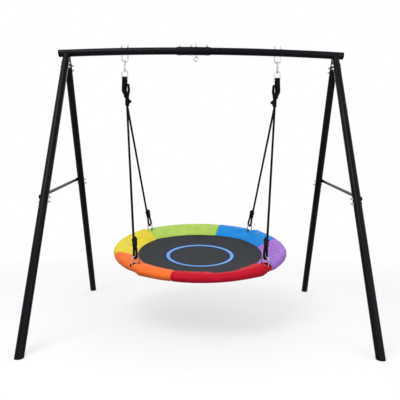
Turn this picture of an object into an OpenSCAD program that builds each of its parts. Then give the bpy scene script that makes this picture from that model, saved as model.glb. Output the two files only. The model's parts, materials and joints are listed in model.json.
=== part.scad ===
// Round saucer swing hung by four ropes from an A-frame stand of steel tube.
// Millimetres, +Z up, X along the crossbar, -Y towards the front, origin on the floor under the middle.

/* [Crossbar] */
// Height of the crossbar's axis at its middle
beam_z = 1692; // [1500:1:1900]
// Overall length of the crossbar
beam_len = 1804; // [1700:1:2200]
// Outside diameter of the crossbar tube
beam_od = 45; // [38:0.5:54]
// Wall of the crossbar tube
beam_wall = 1.5; // [1.2:0.1:3]
// Radius of the crossbar's gentle arch
arch_r = 17500; // [12000:100:60000]
// Place along X of the joint between the two tubes
beam_joint_x = -50; // [-80:1:80]
// Length of the joining sleeve
sleeve_len = 215; // [200:1:260]
// Wall of the joining sleeve
sleeve_wall = 2.8; // [2:0.1:4]
// Distance of the inner sleeve holes from the joint
sleeve_hole_in = 16; // [12:1:30]
// Distance of the outer sleeve holes from the joint
sleeve_hole_out = 87; // [70:1:94]
// Length of an end cap's plug
cap_plug = 22; // [12:1:40]

/* [Legs] */
// Distance of each A-frame from the crossbar's end
leg_inset = 47; // [35:1:150]
// Distance between the front and rear foot axes
foot_spread = 1406; // [1200:1:1700]
// Outside diameter of the leg tubes
leg_od = 45; // [38:0.5:48]
// Wall of the leg tubes
leg_wall = 1.5; // [1.2:0.1:2.5]
// Room for the weld between the front and rear legs' tops, along a leg
leg_top_room = 6.6; // [4:0.2:20]
// Length of a welded socket inside a leg
socket_grip = 74; // [64:1:120]
// Wall of the sockets and spigots
spigot_wall = 2.4; // [1.6:0.1:4]
// Distance from a leg's top down to the upper socket bolt
socket_bolt = 18; // [14:1:24]
// Distance down a front leg to the joint between its tubes
front_joint = 1044; // [900:1:1150]
// Distance down a rear leg to the joint between its tubes
rear_joint = 908; // [800:1:1100]
// Length of a lower leg's spigot inside the upper leg
spigot_len = 130; // [90:1:200]
// Distance from a leg joint up to its lower bolt
joint_bolt = 26; // [20:1:40]
// Spacing of the two bolts at a socket or joint
bolt_pitch = 28; // [24:1:40]
// Outside diameter of the side brace
brace_od = 18; // [14:0.5:22]
// Thickness of the brace's flattened ends
brace_flat = 4; // [3:0.5:6]
// Thickness of a foot cap's base
foot_base = 4; // [3:0.5:10]
// Height of a foot cap with its plug
foot_h = 42; // [25:1:70]

/* [Fasteners] */
// Diameter of the bolts
bolt_d = 8; // [6:0.5:9]
// Width across the flats of a nut
nut_af = 13; // [11:0.5:15]
// Height of a nut
nut_h = 6.5; // [5:0.5:8]
// Diameter of a bolt's round head
head_d = 15; // [12:0.5:18]
// Diameter of the flat on a bolt's round head
head_top_d = 10.5; // [6:0.5:12]
// Height of a bolt's round head
head_h = 4.5; // [3:0.5:7]
// Thread that stands past a nut
thread_out = 7; // [3:0.5:15]
// Clearance of a bolt in its hole, on the diameter
hole_clear = 0.6; // [0.3:0.1:1]
// Clearance of a tube or plug in a tube, on the radius
tube_clear = 0.2; // [0.1:0.05:0.4]

/* [Hanging hardware] */
// Distance of each U-bolt from the middle
u_bolt_x = 486; // [483:1:560]
// Distance between a U-bolt's legs
u_bolt_w = 38; // [32:1:46]
// Depth of a U-bolt below the crossbar
u_bolt_drop = 45; // [40:1:60]
// Diameter of the U-bolt's rod
u_rod = 8; // [6:0.5:9]
// Length of a U-bolt's thread above the crossbar
u_stud = 20; // [14:0.5:30]
// Outside length of the snap hook
hook_len = 80; // [78:1:110]
// Outside width of the snap hook
hook_w = 34; // [32:1:44]
// Diameter of the snap hook's rod
hook_rod = 8; // [7:0.5:9]
// Diameter of the gate's pin
gate_pin_d = 3; // [2:0.5:3.5]
// Gap between hanging pieces that bear on each other
link_gap = 0.3; // [0.3:0.05:0.5]
// Room beside the rope's loops in the D-ring
ring_side_room = 0.8; // [0.5:0.1:6]
// Height of the D-ring between the axes of its rods
ring_h = 54; // [50:0.5:70]
// Diameter of the D-ring's rod
ring_rod = 6; // [5:0.5:7]
// Outside diameter of the eye
eye_od = 32; // [28:1:44]
// Diameter of the eye's rod
eye_rod = 7; // [5:0.5:8]
// Length of shank that shows under the sleeve
eye_shank = 10; // [9:1:25]
// Length of the eye bolt's thread above the sleeve
eye_stud = 32; // [20:1:50]

/* [Ropes] */
// Diameter of the rope
rope_d = 13; // [10:0.5:14]
// Loops in a hank, the last one a short loop at the side
hank_loops = 3; // [3:1:5]
// Gap between neighbouring loops of a hank
hank_gap = 3; // [2.4:0.1:5]
// Height of a hank
hank_h = 128; // [110:1:160]
// Height of the knot under a hank
knot_h = 60; // [50:1:80]
// Shift of the knot towards the middle
knot_shift = 16; // [0:1:40]
// Lean of a hank towards the middle over its height
knot_lean = 9; // [0:1:12]
// Distance from a rim ring up to the middle of an adjuster
adjuster_up = 82; // [78:1:120]
// Length of an adjuster along the rope
adjuster_len = 40; // [30:1:50]
// Wall of an adjuster beside its two strands
adjuster_wall = 3; // [2:0.5:6]
// Wall of an adjuster in front of and behind its strands
adjuster_face = 3; // [2:0.5:6]
// Gap between the two strands in an adjuster
strand_room = 1.4; // [1:0.2:6]

/* [Saucer] */
// Height of the saucer's centre
saucer_z = 437; // [380:1:520]
// Tilt of the saucer, front down, in degrees
saucer_tilt = 10.5; // [0:0.5:12]
// Outside diameter of the saucer
saucer_d = 1080; // [1000:1:1200]
// Distance from the saucer's edge in to the rim tube's axis
rim_inset = 32; // [30:0.5:50]
// Diameter of the rim tube
rim_od = 25; // [20:0.5:28]
// Wall of the rim tube
rim_wall = 1.5; // [1.2:0.1:2.5]
// Length of a rim tube's spigot in degrees
rim_spigot = 7; // [4:0.5:12]
// Outside diameter of the foam sleeve
foam_od = 42; // [38:0.5:46]
// Width of the padded covers
cover_w = 139; // [120:1:190]
// Room between the foam and the covers
foam_room = 1; // [0.5:0.1:3]
// Thickness of the cover's fabric and padding
cover_skin = 3; // [2:0.5:4]
// Height of the inner edge of the covers below the rim
cover_drop = 16; // [10:1:20]
// Depth of the mat's middle below the rim
mat_sag = 62; // [40:1:80]
// Thickness of the mat
mat_t = 4; // [2:0.5:5]
// Tuck of the mat into the covers
mat_tuck = 30; // [15:1:45]
// Height of a rim ring's top rod above the rim tube
rim_ring_up = 62; // [58:1:90]
// Width of a rim ring between the axes of its sides
rim_ring_w = 46; // [44:1:60]
// Diameter of a rim ring's rod
rim_ring_rod = 7; // [5:0.5:8]

/* [Hidden] */
$fn = 96;

left = -1;
right = 1;
front = -1;
rear = 1;
sides = [left, right];
ends = [front, rear];
black = "#17191d";
zinc = "#b9bcc0";
// How far a cut runs past the face that it opens, and the thickness of a hull's end slice
past = 1;
slice = 0.1;

// Crossbar: one arc in the X-Z plane, highest at x = 0
beam_half = beam_len / 2;
arch_fn = 2880;
function beam_drop(x) = arch_r - sqrt(arch_r * arch_r - x * x);
function beam_angle(x) = asin(x / arch_r);
beam_gap = 1;
beam_bore = beam_od / 2 - beam_wall;
// Sleeve: a straight tube, so its bore also clears the bow of the bars inside it
sleeve_bow = sleeve_len * sleeve_len / 8 / arch_r;
sleeve_bore = (beam_od + sleeve_bow) / 2 + tube_clear;
function sleeve_axis_z(x) = beam_z - beam_drop(beam_joint_x) - sleeve_bow / 2
    - (x - beam_joint_x) * tan(beam_angle(beam_joint_x));
sleeve_r = sleeve_bore + sleeve_wall;
sleeve_bolt_x = [for (d = [-sleeve_hole_out, -sleeve_hole_in, sleeve_hole_out]) beam_joint_x + d];
eye_x = beam_joint_x + sleeve_hole_in;
hole_d = bolt_d + hole_clear;
cap_flange = 3;

// Legs: each runs down from the crossbar's axis in the plane of its A-frame
leg_x = beam_len / 2 - leg_inset;
leg_top_z = beam_z - beam_drop(leg_x);
leg_angle = atan(foot_spread / 2 / leg_top_z);
leg_len = leg_top_z / cos(leg_angle);
leg_r = leg_od / 2;
leg_bore = leg_r - leg_wall;
spigot_r = leg_bore - tube_clear;
spigot_bore = spigot_r - spigot_wall;
leg_start = leg_r / tan(leg_angle) + leg_top_room;
socket_len = leg_start + socket_grip;
socket_web = 4;
socket_bore_start = spigot_bore / tan(leg_angle) + socket_web;
shoulder = 12;
past_floor = leg_od;
function leg_joint(end) = end == front ? front_joint : rear_joint;
function joint_bolt_low(end) = leg_joint(end) - joint_bolt;
function joint_bolt_high(end) = joint_bolt_low(end) - bolt_pitch;
function on_leg_point(end, d) = [0, end * d * sin(leg_angle), leg_top_z - d * cos(leg_angle)];
brace_end = 34;
brace_neck = 30;
brace_plate_w = 24;
brace_gap = 0.1;
brace_wall = 1.2;
brace_plug = 4;

// Hanging hardware, from the U-bolt's lower rod down to the rope's hank
u_bar_z = beam_z - beam_drop(u_bolt_x) - beam_od / 2 - u_bolt_drop + u_rod / 2;
// A nut rests on the highest point of the sloping bar under it
nut_corner = nut_af / cos(30) / 2;
nut_seat = 0.05;
function u_nut_z(s) =
    beam_z - beam_drop(u_bolt_x + s * u_bolt_w / 2 - nut_corner) + beam_od / 2 + nut_seat;
u_stud_top = u_nut_z(left) + u_stud;
u_corner = 12;
hook_bow = (hook_w - hook_rod) / 2;
hook_top = u_bar_z + u_rod / 2 + link_gap + hook_rod / 2;
hook_bottom = hook_top - (hook_len - hook_rod);
bow_top_z = hook_top - hook_bow;
bow_bottom_z = hook_bottom + hook_bow;
gate_pin_up = 12;
gate_foot = 6.5;
gate_nose = 8;
gate_pin_z = bow_bottom_z + gate_pin_up;
gate_slot = 15;
gate_bottom = gate_pin_z - gate_foot;
gate_top = bow_top_z - gate_nose;
tongue_t = 3.6;
gate_side_gap = 0.4;
gate_end_gap = 1.5;
tongue_start = gate_bottom - gate_end_gap;
tongue_r = hook_rod / 2 - 0.2;
pin_gap = 0.05;
spring_d = 3.6;
spring_len = 14;
spring_gap = 0.3;
spring_z = gate_pin_z + tongue_r + spring_gap;
ring_top = hook_bottom + hook_rod / 2 + link_gap + ring_rod / 2;
ring_bar_z = ring_top - ring_h;
ring_corner = 6;
hank_pitch = rope_d + hank_gap;
main_loops = hank_loops - 1;
ring_w = (main_loops - 1) * hank_pitch + rope_d + 2 * ring_side_room + ring_rod;
eye_r = (eye_od - eye_rod) / 2;
eye_z = sleeve_axis_z(eye_x) - sleeve_r - eye_shank - eye_od / 2;
eye_stud_top = sleeve_axis_z(eye_x) + sleeve_r + eye_stud;

// Hank: loops over the D-ring's rod, each a round-ended run in the Y-Z plane
hank_rod_gap = 0.5;
hank_bow = ring_rod / 2 + hank_rod_gap + rope_d / 2;
hank_top = ring_bar_z + hank_bow;
hank_low = hank_top + rope_d - hank_h;
hank_rings = 24;
hank_sides = 6;
side_loop_h = 72;
side_loop_out = 11;
knot_gap = 1.5;
knot_top = hank_low - rope_d / 2 - knot_gap;
knot_bottom = knot_top - knot_h;
knot_collar_h = 8;
knot_collar_d = rope_d + 2;
knot_wraps = 5;
knot_wrap_h = (knot_h - knot_collar_h) / knot_wraps;
knot_wrap_gap = 0.4;
knot_core_r = rope_d - 2;
knot_wrap_r = rope_d - 4;
knot_ear_r = rope_d + 1;
knot_ear_in = 6;
knot_x = u_bolt_x - knot_shift;
// Loops cross the rod side by side, and the last one stays below it
foot_rise = 0.1;
function hank_x(t) = hank_pitch * (t - main_loops / 2);
function loop_top(t) = t > main_loops ? hank_low + side_loop_h : hank_top;
// The bends at the foot of the inner loops hang lower than those of the outer ones
function loop_low(t) = hank_low + foot_rise * abs(hank_x(round(t)) - hank_pitch / 2);
// Place around one loop: 0 at the foot, front strand, top at 0.5, rear strand
function loop_yz(t, low, top) =
    let (u = t - floor(t), foot = low + hank_bow, head = top - hank_bow)
    u < 0.125 ? [-hank_bow * sin(720 * u), foot - hank_bow * cos(720 * u)] :
    u < 0.375 ? [-hank_bow, foot + (head - foot) * (u - 0.125) / 0.25] :
    u < 0.625 ? [-hank_bow * cos(720 * (u - 0.375)), head + hank_bow * sin(720 * (u - 0.375))] :
    u < 0.875 ? [hank_bow, head + (foot - head) * (u - 0.625) / 0.25] :
    [hank_bow * cos(720 * (u - 0.875)), foot - hank_bow * sin(720 * (u - 0.875))];
hank_first = 0.13;
hank_last = hank_loops - 0.13;
hank_count = round((hank_last - hank_first) * hank_rings);
// Lean that draws the lower ends of the loops in over the knot
function hank_lean(z) = knot_lean * pow((hank_top - z) / (hank_top - hank_low), 3);
// Sideways bow of the short loop, widest at half its height
function side_bow(t, z) = t > main_loops
    ? side_loop_out * sin(180 * (z - loop_low(t)) / (loop_top(t) - loop_low(t))) : 0;
function hank_point(t) =
    let (p = loop_yz(t, loop_low(t), loop_top(t)))
    [hank_x(t) + side_bow(t, p[1]) + hank_lean(p[1]), p[0], p[1]];
hank_turns = [for (i = [0:hank_count]) hank_point(hank_first + (hank_last - hank_first) * i / hank_count)];
function to_knot(p) = [p[0], p[1], knot_top];
hank_path = concat([to_knot(hank_turns[0])], hank_turns, [to_knot(hank_turns[hank_count])]);

// Saucer frame: rim plane, tilted about X through the saucer's centre
rim_r = saucer_d / 2 - rim_inset;
tilt_cos = cos(saucer_tilt);
tilt_sin = sin(saucer_tilt);
function in_saucer(p) =
    [p[0], p[1] * tilt_cos - p[2] * tilt_sin, saucer_z + p[1] * tilt_sin + p[2] * tilt_cos];
ring_azimuth = 45;
rim_ring_at = rim_r * cos(ring_azimuth);
cover_t = foam_od + 2 * (foam_room + cover_skin);
rim_ring_low = (foam_od + cover_skin - rim_ring_rod) / 2 + foam_room;
rim_ring_corner = 14;
rim_ring_out = rim_ring_w + rim_ring_rod;
slot_clear = 1.5;
slot_under = 0.2;
slot_low = -rim_ring_low - rim_ring_rod / 2 - slot_under;
foam_bore = rim_od + 6;
cover_edge_r = saucer_d / 2 - cover_w;
cover_round = cover_t / 2;
cover_round_r = saucer_d / 2 - cover_round;
cover_gap = 0.06;
// Seams between the covers, in degrees from +X, each before the cover of the same index
cover_seams = [-107, -42, 15, 73, 138, 198];
function seam_after(i) = i + 1 < len(cover_seams) ? cover_seams[i + 1] : cover_seams[0] + 360;
// The top is level out to the rim tube and falls from there to the inner edge, 1 for a straight slope
cover_crown = 1.25;
edge_half = 5;
mat_r = cover_edge_r + mat_tuck;
mat_curve = (mat_sag - cover_drop) / (cover_edge_r * cover_edge_r);
function mat_z(r) = -mat_sag + mat_curve * r * r;
mat_steps = 10;
rim_screw_d = 5;
rim_screw_head_d = 9;
rim_screw_head_h = 2.5;
rim_quarter = 90;

// Ropes: route of one rope in its own plane, [across, up], from the knot to the loop and its tail
loop_room = 3;
loop_r = rim_ring_rod / 2 + loop_room + rope_d / 2;
loop_leg = 24;
strand_x = (rope_d + strand_room) / 2;
loop_steps = 8;
tail_up = 30;
adjuster_w = 2 * strand_x + rope_d + 2 * adjuster_wall;
adjuster_t = rope_d + 2 * adjuster_face;
adjuster_flange_h = 7;
adjuster_flange = 2;
adjuster_clear = 0.6;
rope_route_low = concat(
    [[strand_x, adjuster_up + adjuster_len], [strand_x, adjuster_up - adjuster_len / 2]],
    [[loop_r, loop_leg]],
    [for (i = [0:loop_steps]) loop_r * [cos(180 * i / loop_steps), -sin(180 * i / loop_steps)]],
    [[-loop_r, loop_leg], [-strand_x, adjuster_up - adjuster_len / 2], [-strand_x, adjuster_up + tail_up]]
);
rope_sides = 8;
rope_ring_step = 28;
knot_strand_gap = 0.8;
knot_exit = (rope_d + knot_strand_gap) / 2;

function unit(v) = v / norm(v);
function ring_bar(side, end) = in_saucer([side * rim_ring_at, end * rim_ring_at, rim_ring_up]);
// Way along the rim past a rim ring, towards +X
function along_rim(side, end) = in_saucer([1, -side * end, 0]) - in_saucer([0, 0, 0]);
function rope_top(side, end) = [side * knot_x, end * knot_exit, knot_bottom];
function rope_up(side, end) = unit(rope_top(side, end) - ring_bar(side, end));
function rope_across(side, end) =
    let (u = rope_up(side, end), t = along_rim(side, end)) unit(t - (t * u) * u);
function rope_path(side, end) =
    let (o = ring_bar(side, end), u = rope_up(side, end), s = rope_across(side, end))
    concat([rope_top(side, end)], [for (q = rope_route_low) o + side * q[0] * s + q[1] * u]);

// Tube swept along points by turning its first ring as little as it can
function tangent(p, i) = unit(p[min(i + 1, len(p) - 1)] - p[max(i - 1, 0)]);
function square_to(t, n) = unit(n - (n * t) * t);
function first_normal(t) = square_to(t, abs(t[1]) < 0.8 ? [0, 1, 0] : [1, 0, 0]);
function normals(p) = [
    for (i = 0, n = first_normal(tangent(p, 0)); i < len(p);
        i = i + 1, n = i < len(p) ? square_to(tangent(p, i), n) : n) n];
function refine(p, step) = concat(
    [for (i = [0:len(p) - 2])
        let (n = max(1, ceil(norm(p[i + 1] - p[i]) / step)))
        for (k = [0:n - 1]) p[i] + (p[i + 1] - p[i]) * k / n],
    [p[len(p) - 1]]);
function least_gap(p, d, apart) = min([
    for (i = [0:len(p) - 1 - apart]) for (j = [i + apart:len(p) - 1]) norm(p[i] - p[j])]) - d;

module tube_along(p, d, sides) {
    count = len(p);
    n = normals(p);
    points = [for (i = [0:count - 1])
        let (t = tangent(p, i), b = cross(t, n[i]))
        for (k = [0:sides - 1]) p[i] + d / 2 * (cos(360 * k / sides) * n[i] + sin(360 * k / sides) * b)];
    walls = [for (i = [0:count - 2]) for (k = [0:sides - 1])
        let (a = i * sides + k, b = i * sides + (k + 1) % sides)
        each [[a, a + sides, b], [b, a + sides, b + sides]]];
    start_cap = [for (k = [1:sides - 2]) [0, k, k + 1]];
    last = (count - 1) * sides;
    end_cap = [for (k = [1:sides - 2]) [last, last + k + 1, last + k]];
    polyhedron(points, concat(walls, start_cap, end_cap), convexity = 8);
}

echo(least_hank_gap = least_gap(hank_path, rope_d, 10));

// Shared shapes

module along_x(x0, x1, r) {
    translate([x0, 0, 0]) rotate([0, 90, 0]) cylinder(h = x1 - x0, r = r);
}

module along_y(y0, y1, r) {
    translate([0, y0, 0]) rotate([-90, 0, 0]) cylinder(h = y1 - y0, r = r);
}

module bent_rod(bow, rod, angle) {
    rotate_extrude(angle = angle) translate([bow, 0]) circle(d = rod);
}

// Closed rod in the X-Z plane, round-cornered, hanging down from its top rod at z = 0
module rod_link(w, h, top_corner, low_corner, rod) {
    half = w / 2;
    rotate([90, 0, 0]) {
        for (s = sides) {
            translate([s * (half - top_corner), -top_corner]) rotate(s == right ? 0 : 90)
                bent_rod(top_corner, rod, 90);
            translate([s * (half - low_corner), low_corner - h]) rotate(s == right ? -90 : 180)
                bent_rod(low_corner, rod, 90);
            translate([s * half, low_corner - h]) rotate([-90, 0, 0])
                cylinder(h = h - top_corner - low_corner, d = rod);
        }
        translate([0, -h]) straight_rod(half - low_corner, rod);
        if (top_corner < half) straight_rod(half - top_corner, rod);
    }
}

module straight_rod(half, rod) {
    along_x(-half, half, rod / 2);
}

// Nut standing on z = 0, with the bolt's hole through it
module nut(d) {
    difference() {
        cylinder(h = nut_h, d = nut_af / cos(30), $fn = 6);
        translate([0, 0, -past]) cylinder(h = nut_h + 2 * past, d = d);
    }
}

// Bolt along +Z: domed head under z = 0, shank up to its end
module bolt(length) {
    cylinder(h = length, d = bolt_d);
    translate([0, 0, -head_h]) cylinder(h = head_h, d1 = head_top_d, d2 = head_d);
}

module for_side(side) {
    mirror([side == left ? 1 : 0, 0, 0]) children();
}

module on_leg(side, end) {
    translate([side * leg_x, 0, leg_top_z]) rotate([end * leg_angle, 0, 0]) children();
}

// Along +Z from the leg's outer face through to its inner one, at distance d down the leg
module across_leg(side, d) {
    translate([side * leg_r, 0, -d]) rotate([0, -side * 90, 0]) children();
}

module bolt_holes(places, r) {
    for (d = places) translate([0, 0, -d]) along_x(-r - past, r + past, hole_d / 2);
}

function socket_places() = [leg_start + socket_bolt, leg_start + socket_bolt + bolt_pitch];
function joint_places(end) = [joint_bolt_high(end), joint_bolt_low(end)];

// Stand

// Round bar along the arch from x0 to x1
module arch_bar(x0, x1, r) {
    translate([0, 0, beam_z - arch_r]) rotate([90, 0, 0]) rotate(90 - beam_angle(x1))
        rotate_extrude(angle = beam_angle(x1) - beam_angle(x0), $fn = arch_fn)
            translate([arch_r, 0]) circle(r = r, $fn = 96);
}

module on_beam_end() {
    translate([beam_half, 0, beam_z - beam_drop(beam_half)]) rotate([0, beam_angle(beam_half), 0]) children();
}

module crossbar(side) {
    inner_x = side * beam_joint_x + beam_gap / 2;
    color(black) for_side(side) difference() {
        union() {
            arch_bar(inner_x, beam_half, beam_od / 2);
            for (end = ends) on_leg(right, end) translate([0, 0, -socket_len])
                cylinder(h = socket_len, r = spigot_r);
        }
        arch_bar(inner_x - past, beam_half + past, beam_bore);
        for (end = ends) on_leg(right, end) {
            translate([0, 0, -socket_len - past])
                cylinder(h = socket_len + past - socket_bore_start, r = spigot_bore);
            bolt_holes(socket_places(), spigot_r);
        }
        for (x = concat(sleeve_bolt_x, [eye_x])) up_hole(side * x, hole_d);
        for (s = sides) up_hole(u_bolt_x + s * u_bolt_w / 2, u_rod + hole_clear);
    }
}

module up_hole(x, d) {
    translate([x, 0, beam_z - 2 * beam_od]) cylinder(h = 4 * beam_od, d = d);
}

module crossbar_sleeve() {
    half = sleeve_len / 2;
    color(black) difference() {
        on_sleeve(beam_joint_x) rotate([0, beam_angle(beam_joint_x), 0]) difference() {
            along_x(-half, half, sleeve_r);
            along_x(-half - past, half + past, sleeve_bore);
        }
        for (x = concat(sleeve_bolt_x, [eye_x])) up_hole(x, hole_d);
    }
}

module on_sleeve(x) {
    translate([x, 0, sleeve_axis_z(x)]) children();
}

module sleeve_bolts() {
    color(zinc) for (x = sleeve_bolt_x) on_sleeve(x) translate([0, 0, -sleeve_r])
        bolt(2 * sleeve_r + nut_h + thread_out);
}

module sleeve_nuts() {
    color(zinc) for (x = sleeve_bolt_x) on_sleeve(x) translate([0, 0, sleeve_r]) nut(bolt_d);
}

module eye_bolt() {
    color(zinc) {
        translate([eye_x, 0, eye_z]) rotate([90, 0, 0]) bent_rod(eye_r, eye_rod, 360);
        translate([eye_x, 0, eye_z + eye_r]) cylinder(h = eye_stud_top - eye_z - eye_r, d = bolt_d);
    }
}

module eye_bolt_nuts() {
    color(zinc) {
        on_sleeve(eye_x) translate([0, 0, sleeve_r]) nut(bolt_d);
        on_sleeve(eye_x) translate([0, 0, -sleeve_r - nut_h]) nut(bolt_d);
    }
}

module end_caps() {
    color(black) for (side = sides) for_side(side) on_beam_end() {
        along_x(-cap_plug, 0, beam_bore - tube_clear);
        along_x(0, cap_flange, beam_od / 2);
    }
}

module u_bolt(side) {
    half = u_bolt_w / 2;
    color(zinc) translate([side * u_bolt_x, 0, u_bar_z]) {
        for (s = sides) {
            translate([s * half, 0, u_corner]) cylinder(h = u_stud_top - u_bar_z - u_corner, d = u_rod);
            translate([s * (half - u_corner), 0, u_corner]) rotate([90, 0, 0])
                rotate(s == right ? -90 : 180) bent_rod(u_corner, u_rod, 90);
        }
        straight_rod(half - u_corner, u_rod);
    }
}

module u_bolt_nuts() {
    color(zinc) for (side = sides) for_side(side) for (s = sides)
        translate([u_bolt_x + s * u_bolt_w / 2, 0, u_nut_z(s)]) nut(u_rod);
}

module upper_leg(side, end) {
    joint = leg_joint(end);
    color(black) on_leg(side, end) difference() {
        translate([0, 0, -joint]) cylinder(h = joint - leg_start, r = leg_r);
        translate([0, 0, -joint - past]) cylinder(h = joint - leg_start + 2 * past, r = leg_bore);
        bolt_holes(concat(socket_places(), joint_places(end)), leg_r);
    }
}

module below_floor_cut(z) {
    size = 4 * foot_spread;
    translate([-size / 2, -size / 2, z - size]) cube(size);
}

module lower_leg(side, end) {
    joint = leg_joint(end);
    foot = leg_len + past_floor;
    color(black) difference() {
        on_leg(side, end) difference() {
            union() {
                translate([0, 0, -foot]) cylinder(h = foot - joint, r = leg_r);
                translate([0, 0, -joint]) cylinder(h = spigot_len, r = spigot_r);
            }
            translate([0, 0, -joint - shoulder]) cylinder(h = shoulder + spigot_len + past, r = spigot_bore);
            translate([0, 0, -foot - past]) cylinder(h = foot + past - joint - shoulder, r = leg_bore);
            bolt_holes(joint_places(end), leg_r);
        }
        below_floor_cut(foot_base);
    }
}

module foot_caps() {
    color(black) for (side = sides) for (end = ends) {
        foot_slice(side, end, leg_r, 0, foot_base);
        foot_slice(side, end, leg_bore - tube_clear, foot_base, foot_h);
    }
}

module foot_slice(side, end, r, z0, z1) {
    intersection() {
        on_leg(side, end) translate([0, 0, -leg_len - past_floor]) cylinder(h = 4 * foot_h, r = r);
        translate([side * leg_x - leg_od, end * foot_spread / 2 - 2 * leg_od, z0])
            cube([2 * leg_od, 4 * leg_od, z1 - z0]);
    }
}

// Brace on the A-frame's outer face, from the front leg's upper joint bolt to the rear leg's
module brace(side) {
    a = on_leg_point(front, joint_bolt_high(front));
    b = on_leg_point(rear, joint_bolt_high(rear));
    span = norm(b - a);
    slope = atan2(b[2] - a[2], b[1] - a[1]);
    plate_x = leg_x + leg_r + brace_gap;
    tube_x = plate_x + brace_flat / 2;
    tube_start = brace_end / 2 + brace_neck;
    color(black) for_side(side) translate([0, a[1], a[2]]) rotate([slope, 0, 0]) {
        difference() {
            translate([tube_x, 0, 0]) along_y(tube_start, span - tube_start, brace_od / 2);
            translate([tube_x, 0, 0])
                along_y(tube_start + brace_plug, span - tube_start - brace_plug, brace_od / 2 - brace_wall);
        }
        for (y = [0, span]) difference() {
            union() {
                translate([plate_x, y, 0]) rotate([0, 90, 0]) cylinder(h = brace_flat, d = brace_plate_w);
                brace_neck_shape(plate_x, tube_x, y == 0 ? 0 : span, y == 0 ? tube_start : span - tube_start);
            }
            translate([plate_x, y, 0]) along_x(-past, brace_flat + past, hole_d / 2);
        }
    }
}

// Flattened stretch from the plate's middle to the round tube
module brace_neck_shape(plate_x, tube_x, y_plate, y_tube) {
    way = sign(y_tube - y_plate);
    y_flat = y_plate + way * brace_end / 2;
    translate([plate_x, min(y_plate, y_flat), -brace_plate_w / 2])
        cube([brace_flat, brace_end / 2, brace_plate_w]);
    hull() {
        translate([plate_x, y_flat - slice / 2, -brace_plate_w / 2])
            cube([brace_flat, slice, brace_plate_w]);
        translate([tube_x, y_tube, 0]) along_y(-slice / 2, slice / 2, brace_od / 2, $fn = 32);
    }
}

module leg_bolts(places_for, extra) {
    color(zinc) for (side = sides) for (end = ends) on_leg(side, end)
        for (d = places_for[end == front ? 0 : 1]) across_leg(side, d) {
            out = d == extra[end == front ? 0 : 1] ? brace_flat + brace_gap : 0;
            translate([0, 0, -out]) bolt(leg_od + out + nut_h + thread_out);
        }
}

module leg_nuts(places_for) {
    color(zinc) for (side = sides) for (end = ends) on_leg(side, end)
        for (d = places_for[end == front ? 0 : 1]) across_leg(side, d) translate([0, 0, leg_od]) nut(bolt_d);
}

module socket_bolts() { leg_bolts([socket_places(), socket_places()], [0, 0]); }

module socket_nuts() { leg_nuts([socket_places(), socket_places()]); }

module joint_bolts() {
    leg_bolts([joint_places(front), joint_places(rear)], [joint_bolt_high(front), joint_bolt_high(rear)]);
}

module joint_nuts() { leg_nuts([joint_places(front), joint_places(rear)]); }

// Hanging hardware

// Snap hook in the Y-Z plane: spine at the rear, gate at the front
module hook(side) {
    color(zinc) translate([side * u_bolt_x, 0, 0]) difference() {
        union() {
            translate([0, hook_bow, bow_bottom_z]) cylinder(h = bow_top_z - bow_bottom_z, d = hook_rod);
            hook_bow_shape(bow_top_z, 0);
            hook_bow_shape(bow_bottom_z, 180);
            translate([0, -hook_bow, gate_top + gate_side_gap])
                cylinder(h = bow_top_z - gate_top - gate_side_gap, d = hook_rod);
            translate([0, -hook_bow, bow_bottom_z]) cylinder(h = tongue_start - bow_bottom_z, d = hook_rod);
            hook_tongue();
        }
        translate([-hook_rod, -hook_bow, gate_pin_z]) along_x(0, 2 * hook_rod, gate_pin_d / 2);
    }
}

module hook_bow_shape(z, turn) {
    translate([0, 0, z]) rotate([90, 0, 90]) rotate(turn) bent_rod(hook_bow, hook_rod, 180);
}

module hook_tongue() {
    translate([-tongue_t / 2, -hook_bow, gate_pin_z]) along_x(0, tongue_t, tongue_r);
    translate([-tongue_t / 2, -hook_bow - tongue_r, tongue_start - past])
        cube([tongue_t, 2 * tongue_r, gate_pin_z - tongue_start + past]);
}

module gate(side) {
    slot = tongue_t + 2 * gate_side_gap;
    color(zinc) translate([side * u_bolt_x, -hook_bow, 0]) difference() {
        translate([0, 0, gate_bottom]) cylinder(h = gate_top - gate_bottom, d = hook_rod);
        translate([-slot / 2, -hook_rod, gate_bottom - past]) cube([slot, 2 * hook_rod, gate_slot + past]);
        translate([0, 0, spring_z]) cylinder(h = spring_len + spring_gap, d = spring_d + 2 * spring_gap);
        translate([0, 0, gate_pin_z]) along_x(-hook_rod, hook_rod, gate_pin_d / 2 + pin_gap);
    }
}

module gate_pin(side) {
    color(zinc) translate([side * u_bolt_x, -hook_bow, gate_pin_z])
        along_x(-hook_rod / 2, hook_rod / 2, gate_pin_d / 2);
}

// Spring and plunger in the gate's bore, pressing on the round end of the hook's tongue
module gate_spring(side) {
    color(zinc) translate([side * u_bolt_x, -hook_bow, spring_z]) cylinder(h = spring_len, d = spring_d);
}

module hang_ring(side) {
    color(zinc) translate([side * u_bolt_x, 0, ring_top])
        rod_link(ring_w, ring_h, ring_w / 2, ring_corner, ring_rod);
}

// Ropes

module rope_hank(side) {
    color(black) translate([side * u_bolt_x, 0, 0]) for_side(left == side ? right : left)
        tube_along(hank_path, rope_d, hank_sides);
}

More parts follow.
